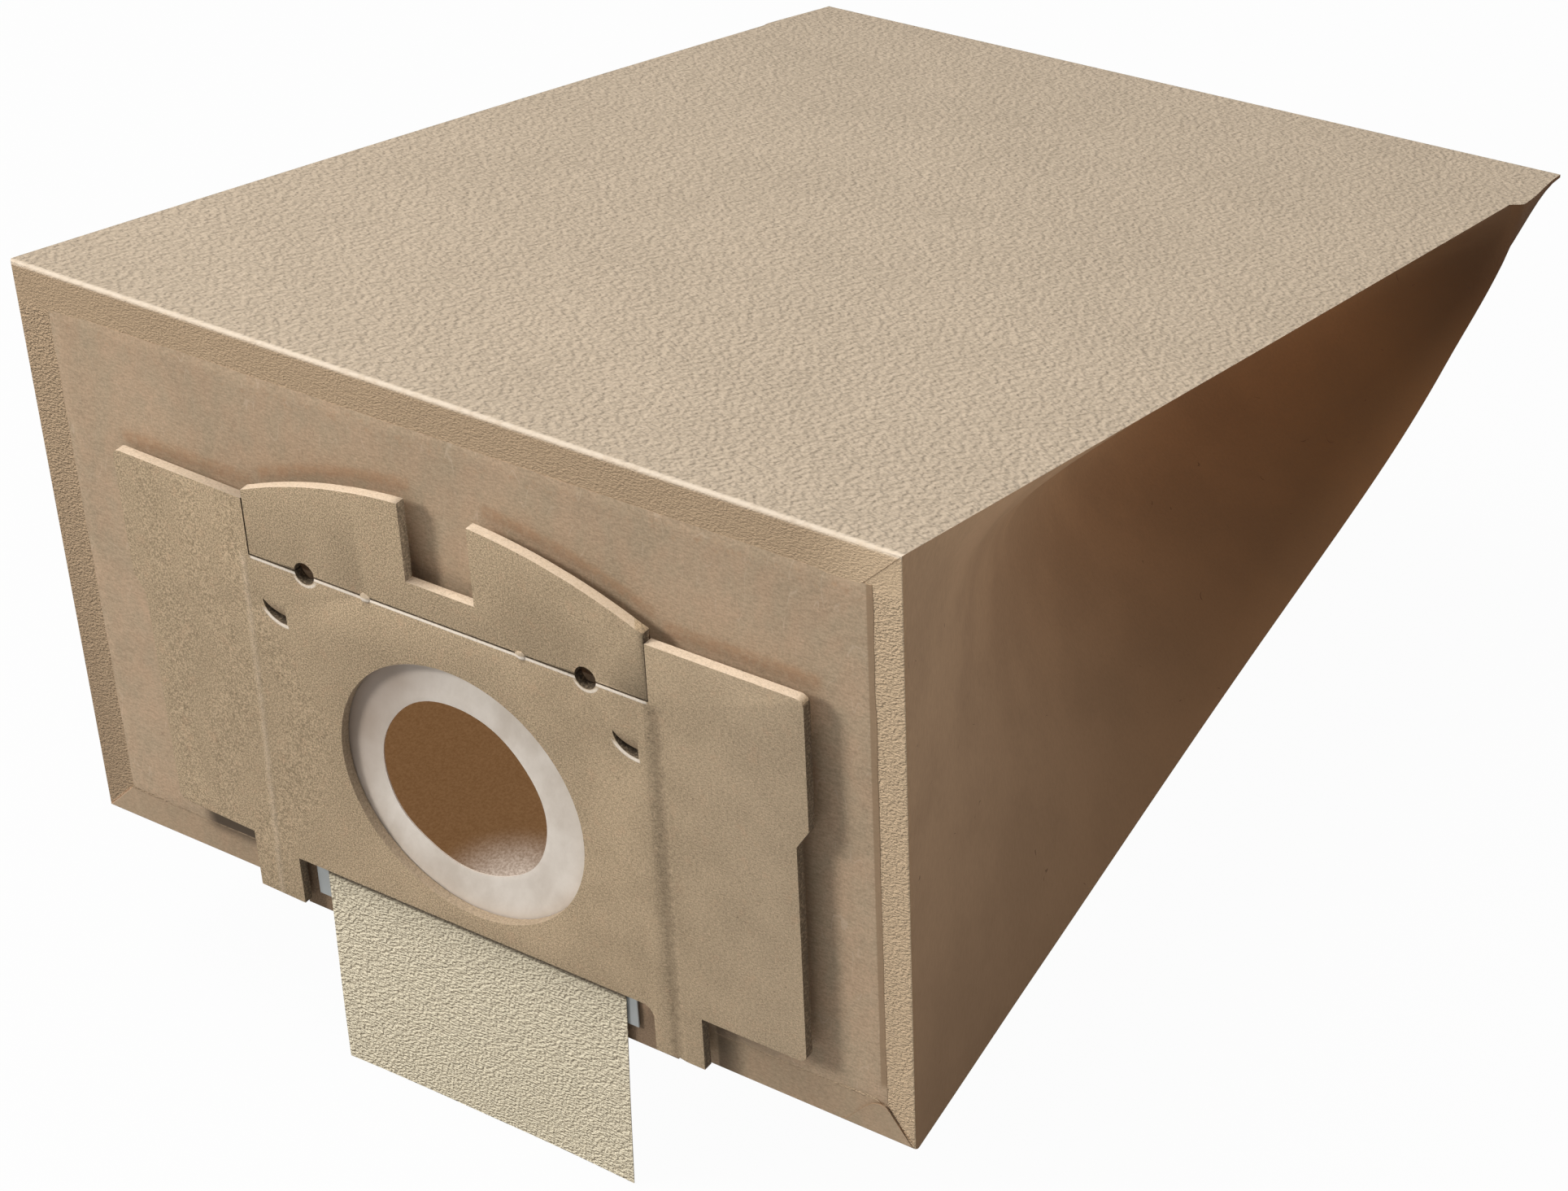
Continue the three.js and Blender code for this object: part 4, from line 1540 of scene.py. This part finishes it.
    def bridge(self, x: float) -> bpy.types.Object:
        """The pulpy nub that bridges the tear line.

        Args:
            x: its place along the line.

        Returns:
            The nub.
        """
        Bench.clear()
        bpy.ops.mesh.primitive_uv_sphere_add(segments=20, ring_count=12, radius=1)
        nub = Bench.named("nub")
        for vertex in nub.data.vertices:
            rough = 1 + 0.3 * noise.noise(vertex.co * 1.9 + Vector((x, 0, 0)))
            wide, deep, high = vertex.co * rough
            place = (x + wide * 1.15, 0.1 + deep * 0.42, self.tear_height - 0.4 + high * 1.05)
            vertex.co = Vector(place) * MM
        Bench.mark(nub, lambda face: (0.6, 0.0, 0.0))
        return nub

    @staticmethod
    def press(
        piece: bpy.types.Object, wanted: Callable[[bmesh.types.BMEdge], bool], width: float, steps: int
    ) -> None:
        """Rounds the edges that a test picks.

        Args:
            piece: the board, in edit mode.
            wanted: the test.
            width: the rounding's width.
            steps: its faces.
        """
        mesh = bmesh.from_edit_mesh(piece.data)
        bpy.ops.mesh.select_mode(type="EDGE")
        bpy.ops.mesh.select_all(action="DESELECT")
        for edge in mesh.edges:
            edge.select = wanted(edge)
        bmesh.update_edit_mesh(piece.data)
        bpy.ops.mesh.bevel(offset=width * MM, segments=steps, profile=0.5, clamp_overlap=True, affect="EDGES")

    @staticmethod
    def is_rim(edge: bmesh.types.BMEdge) -> bool:
        """Whether an edge runs round the front or the back face."""
        if len(edge.link_faces) != 2:
            return False
        middle = (edge.verts[0].co + edge.verts[1].co) / 2 / MM
        in_slit = abs(middle.z - 5.0) < 0.4 and abs(middle.x) < 44 and edge.verts[0].co.y > -1
        in_slit = in_slit or (abs(abs(middle.x) - 43.7) < 0.4 and 4.5 < middle.z < 16.75)
        flat = [abs(f.normal.y) > 0.98 for f in edge.link_faces]
        return flat[0] != flat[1] and not in_slit

    def bend_left_wing(self, piece: bpy.types.Object) -> None:
        """Leans the left wing back a little towards the bag."""
        for vertex in piece.data.vertices:
            out = -vertex.co.x / MM - self.wing_start
            if out > 0:
                vertex.co.y += self.wing_bend * MM * out / (self.wing_half - self.wing_start)


@dataclass
class CarrierSheet:
    """The brown board that carries the seal, brought down to the bag's lower edge."""

    lower_edge: float = -63.0
    lowered: float = -77.5
    half: float = 41.5
    left: float = -44.5
    right: float = 42.5

    def build(self) -> bpy.types.Object:
        """The finished board."""
        piece = Bench.copy_of("back_board", "carrier_board")
        Bench.tidy(piece, 0.005)
        for vertex in piece.data.vertices:
            x, z = vertex.co.x / MM, vertex.co.z / MM
            if abs(abs(x) - self.half) < 0.1:
                vertex.co.x = (self.left if x < 0 else self.right) * MM
            if abs(z - self.lower_edge) < 0.1:
                vertex.co.z = self.lowered * MM
        Bench.smooth(piece, 40)
        return piece


@dataclass
class SealSheet:
    """The soft sheet behind the collar, whose round opening grips the pipe."""

    layers: Layers
    left: float = -40.5
    right: float = 34.5
    bottom: float = -73.1
    top: float = 2.0
    centre_x: float = -0.9
    centre_z: float = -33.8
    radius: float = 18.5
    thick: float = 0.3
    steps: int = 96
    spread: tuple[float, ...] = (0, 0.2, 0.5, 1.0, 1.8, 3.2, 5.6, 8.6, 12.0)

    def rim(self, angle: float) -> float:
        """The opening's radius at an angle from the right, which is a little egg-shaped."""
        lean = 0.035 * math.cos(angle - math.radians(120)) + 0.012 * math.cos(3 * angle + 1.2)
        flat = -0.022 * math.exp(-(((math.degrees(angle) + 128) / 16) ** 2))
        return self.radius * (1 + lean + flat + 0.004 * math.sin(7 * angle))

    def build(self) -> bpy.types.Object:
        """The finished sheet."""
        Bench.clear()
        bpy.ops.mesh.primitive_circle_add(vertices=self.steps, radius=1, fill_type="NOTHING")
        piece = Bench.named("seal_sheet")
        bpy.ops.object.mode_set(mode="EDIT")
        bpy.ops.mesh.select_all(action="SELECT")
        rings = len(self.spread)
        for _ in range(rings):
            bpy.ops.mesh.extrude_region_move()
            bpy.ops.transform.resize(value=(1.1, 1.1, 1.1))
        bpy.ops.object.mode_set(mode="OBJECT")
        front = self.layers.membrane_front
        for vertex in piece.data.vertices:
            ring = round(math.log(max(1.0, vertex.co.xy.length)) / math.log(1.1))
            angle = math.atan2(vertex.co.y, vertex.co.x)
            vertex.co = self.ring_point(ring, rings, angle, front) * MM
        Bench.tidy(piece, 0.0001)
        Bench.modify(piece, "SOLIDIFY", thickness=self.thick * MM, offset=0.0)
        Bench.tidy(piece, 0.0001)
        Bench.smooth(piece, 50)
        return piece

    def ring_point(self, ring: int, rings: int, angle: float, front: float) -> Vector:
        """A point of the sheet.

        Args:
            ring: 0 at the opening, and the last one on the sheet's outline.
            rings: the number of steps between them.
            angle: the direction from the opening's centre.
            front: the sheet's front face.

        Returns:
            The point, in millimetres.
        """
        cos, sin = math.cos(angle), math.sin(angle)
        inner = self.rim(angle)
        deep = front + 0.18
        if ring < rings:
            reach = inner + self.spread[ring]
            x, z = self.centre_x + reach * cos, self.centre_z + reach * sin
            deep += 0.08 * (1 - ease(reach - inner, 0.0, 0.7))
            deep += 0.12 * ripple(x, 2, z, 9) * ease(reach - inner, 0.3, 3)
            return Vector((x, deep, z))
        for x in (self.left, self.right):
            for z in (self.bottom, self.top):
                off = math.atan2(z - self.centre_z, x - self.centre_x) - angle
                if abs(math.remainder(off, math.tau)) < math.pi / self.steps:
                    return Vector((x, deep, z))
        spans = [
            (self.right - self.centre_x) / cos if cos > 1e-6 else math.inf,
            (self.left - self.centre_x) / cos if cos < -1e-6 else math.inf,
            (self.top - self.centre_z) / sin if sin > 1e-6 else math.inf,
            (self.bottom - self.centre_z) / sin if sin < -1e-6 else math.inf,
        ]
        reach = min(spans)
        return Vector((self.centre_x + reach * cos, deep, self.centre_z + reach * sin))


@dataclass
class Tongue:
    """The cream paper tongue that hangs out from behind the collar."""

    layers: Layers
    top: float = -52.5
    bottom: float = -113.0
    board_edge: float = -64.1
    top_middle: float = -2.0
    top_half: float = 34.9
    bottom_middle: float = -3.6
    bottom_half: float = 34.4
    curl: float = 0.9
    inlet_radius: float = 29.6
    inlet_z: float = -32.5

    def build(self) -> bpy.types.Object:
        """The finished tongue."""
        Bench.clear()
        bpy.ops.mesh.primitive_grid_add(x_subdivisions=60, y_subdivisions=52, size=1)
        piece = Bench.named("cream_tongue")
        for vertex in piece.data.vertices:
            u, v = vertex.co.x * 2, vertex.co.y + 0.5
            middle = self.bottom_middle + (self.top_middle - self.bottom_middle) * v
            half = self.bottom_half + (self.top_half - self.bottom_half) * v
            z = self.bottom + (self.top - self.bottom) * v
            x = middle + half * u
            free = ease(self.board_edge - z, 2, 50)
            swell = free * (0.35 * ripple(x, 3, z, 34) - self.curl * 0.5 * (u * u - 0.3))
            vertex.co = Vector((x, self.layers.board + 0.02 + swell, z)) * MM
        Bench.modify(piece, "SOLIDIFY", thickness=0.2 * MM, offset=1.0)
        Bench.tidy(piece, 0.0005)
        cutter = Bench.round_cutter(0, self.inlet_z, self.inlet_radius, -2, 6)
        Bench.cut(piece, cutter)
        Bench.smooth(piece, 40)
        return piece


# Setting


@dataclass(frozen=True)
class Lamp:
    """A square soft lamp that faces the bag: its place and side in metres, its power in watts."""

    name: str
    place: tuple[float, float, float]
    power: float
    side: float
    color: Color


@dataclass
class Studio:
    """The pale floor, the soft lamps and the camera."""

    floor_height: float = -0.1135
    floor_side: float = 14
    floor_color: Color = (0.42, 0.42, 0.42)
    floor_white: float = 0.97
    camera_place: tuple[float, float, float] = (0.334432, -0.371556, 0.347251)
    camera_turn: tuple[float, float, float] = (55.60100, 2.20521, 33.65794)
    lens: float = 80.149
    sensor: float = 36
    aim: tuple[float, float, float] = (0.0, 0.08, -0.02)
    sky: float = 0.20
    sky_color: Color = (0.96, 0.98, 1.0)
    lamps: tuple[Lamp, ...] = (
        Lamp("key_lamp", (-1.05, -1.10, 1.00), 17.5, 0.42, (1.0, 0.985, 0.96)),
        Lamp("overhead_lamp", (-0.30, -0.20, 1.85), 32.0, 1.1, (1.0, 0.99, 0.97)),
        Lamp("fill_lamp", (1.60, 0.55, 0.25), 3.6, 1.2, (1.0, 0.99, 0.98)),
    )

    def camera(self) -> None:
        """The camera at the photograph's angle."""
        data = bpy.data.cameras.new("camera")
        data.lens = self.lens
        data.sensor_width = self.sensor
        data.clip_start, data.clip_end = 0.01, 50
        camera = bpy.data.objects.new("camera", data)
        camera.location = self.camera_place
        camera.rotation_euler = Euler([math.radians(a) for a in self.camera_turn], "XYZ")
        bpy.context.scene.collection.objects.link(camera)
        bpy.context.scene.camera = camera

    def light(self, lamp: Lamp) -> None:
        """Sets up one lamp."""
        data = bpy.data.lights.new(lamp.name, "AREA")
        data.shape = "SQUARE"
        data.size = lamp.side
        data.energy = lamp.power
        data.color = lamp.color
        made = bpy.data.objects.new(lamp.name, data)
        made.location = lamp.place
        toward = Vector(self.aim) - Vector(lamp.place)
        made.rotation_euler = toward.to_track_quat("-Z", "Y").to_euler()
        bpy.context.scene.collection.objects.link(made)

    def sky_light(self) -> None:
        """A plain pale sky that the camera sees as white."""
        paint = Paint("sky", bpy.data.worlds.new("sky"))
        pale = {"Color": (*self.sky_color, 1.0), "Strength": self.sky}
        light = paint.node("ShaderNodeBackground", {}, pale)
        white = paint.node("ShaderNodeBackground", {}, {"Color": (1.0, 1.0, 1.0, 1.0)})
        seen = paint.node("ShaderNodeLightPath", {}, {}, "Is Camera Ray")
        both = paint.node("ShaderNodeMixShader", {}, {0: seen, 1: light, 2: white})
        bpy.context.scene.world = paint.closed(both, "ShaderNodeOutputWorld")

    def floor(self) -> None:
        """The pale floor, which looks white but keeps a soft shadow."""
        Bench.clear()
        bpy.ops.mesh.primitive_plane_add(size=self.floor_side, location=(0, 0, self.floor_height))
        floor = Bench.named("floor")
        Bench.settle(floor)
        paint = Paint("pale_floor")
        matt = paint.node("ShaderNodeBsdfDiffuse", {}, {"Color": (*self.floor_color, 1.0)})
        white = paint.node("ShaderNodeEmission", {}, {})
        seen = paint.node("ShaderNodeLightPath", {}, {}, "Is Camera Ray") * self.floor_white
        both = paint.node("ShaderNodeMixShader", {}, {0: seen, 1: matt, 2: white})
        floor.data.materials.append(paint.closed(both))

    def build(self) -> None:
        """Sets everything up."""
        bpy.context.scene.view_settings.view_transform = "Standard"
        self.camera()
        self.sky_light()
        self.floor()
        for lamp in self.lamps:
            self.light(lamp)


def main() -> None:
    """Builds and dresses the whole bag."""
    logging.basicConfig(level=logging.INFO, format="%(name)s: %(message)s")
    Studio().build()
    layers = Layers()
    Bench.dress(PaperBag(layers).build(), BagPaper().material(), "kraft_paper", "paper_bag")
    Bench.dress(CoverPatch(layers).build(), SmoothKraft().material(), "smooth_kraft", "cover_patch")
    Bench.dress(Collar().build(), CollarBoard().material(), "grey_brown_board", "front_board")
    Bench.dress(SealSheet(layers).build(), SealFilm().material(), "seal_film", "seal_membrane")
    Bench.dress(Tongue(layers).build(), CreamPaper().material(), "cream_paper", "paper_tongue")
    Bench.dress(CarrierSheet().build(), CarrierBoard().material(), "plain_board", "back_board")
    Bench.clear()


if __name__ == "__main__":
    main()
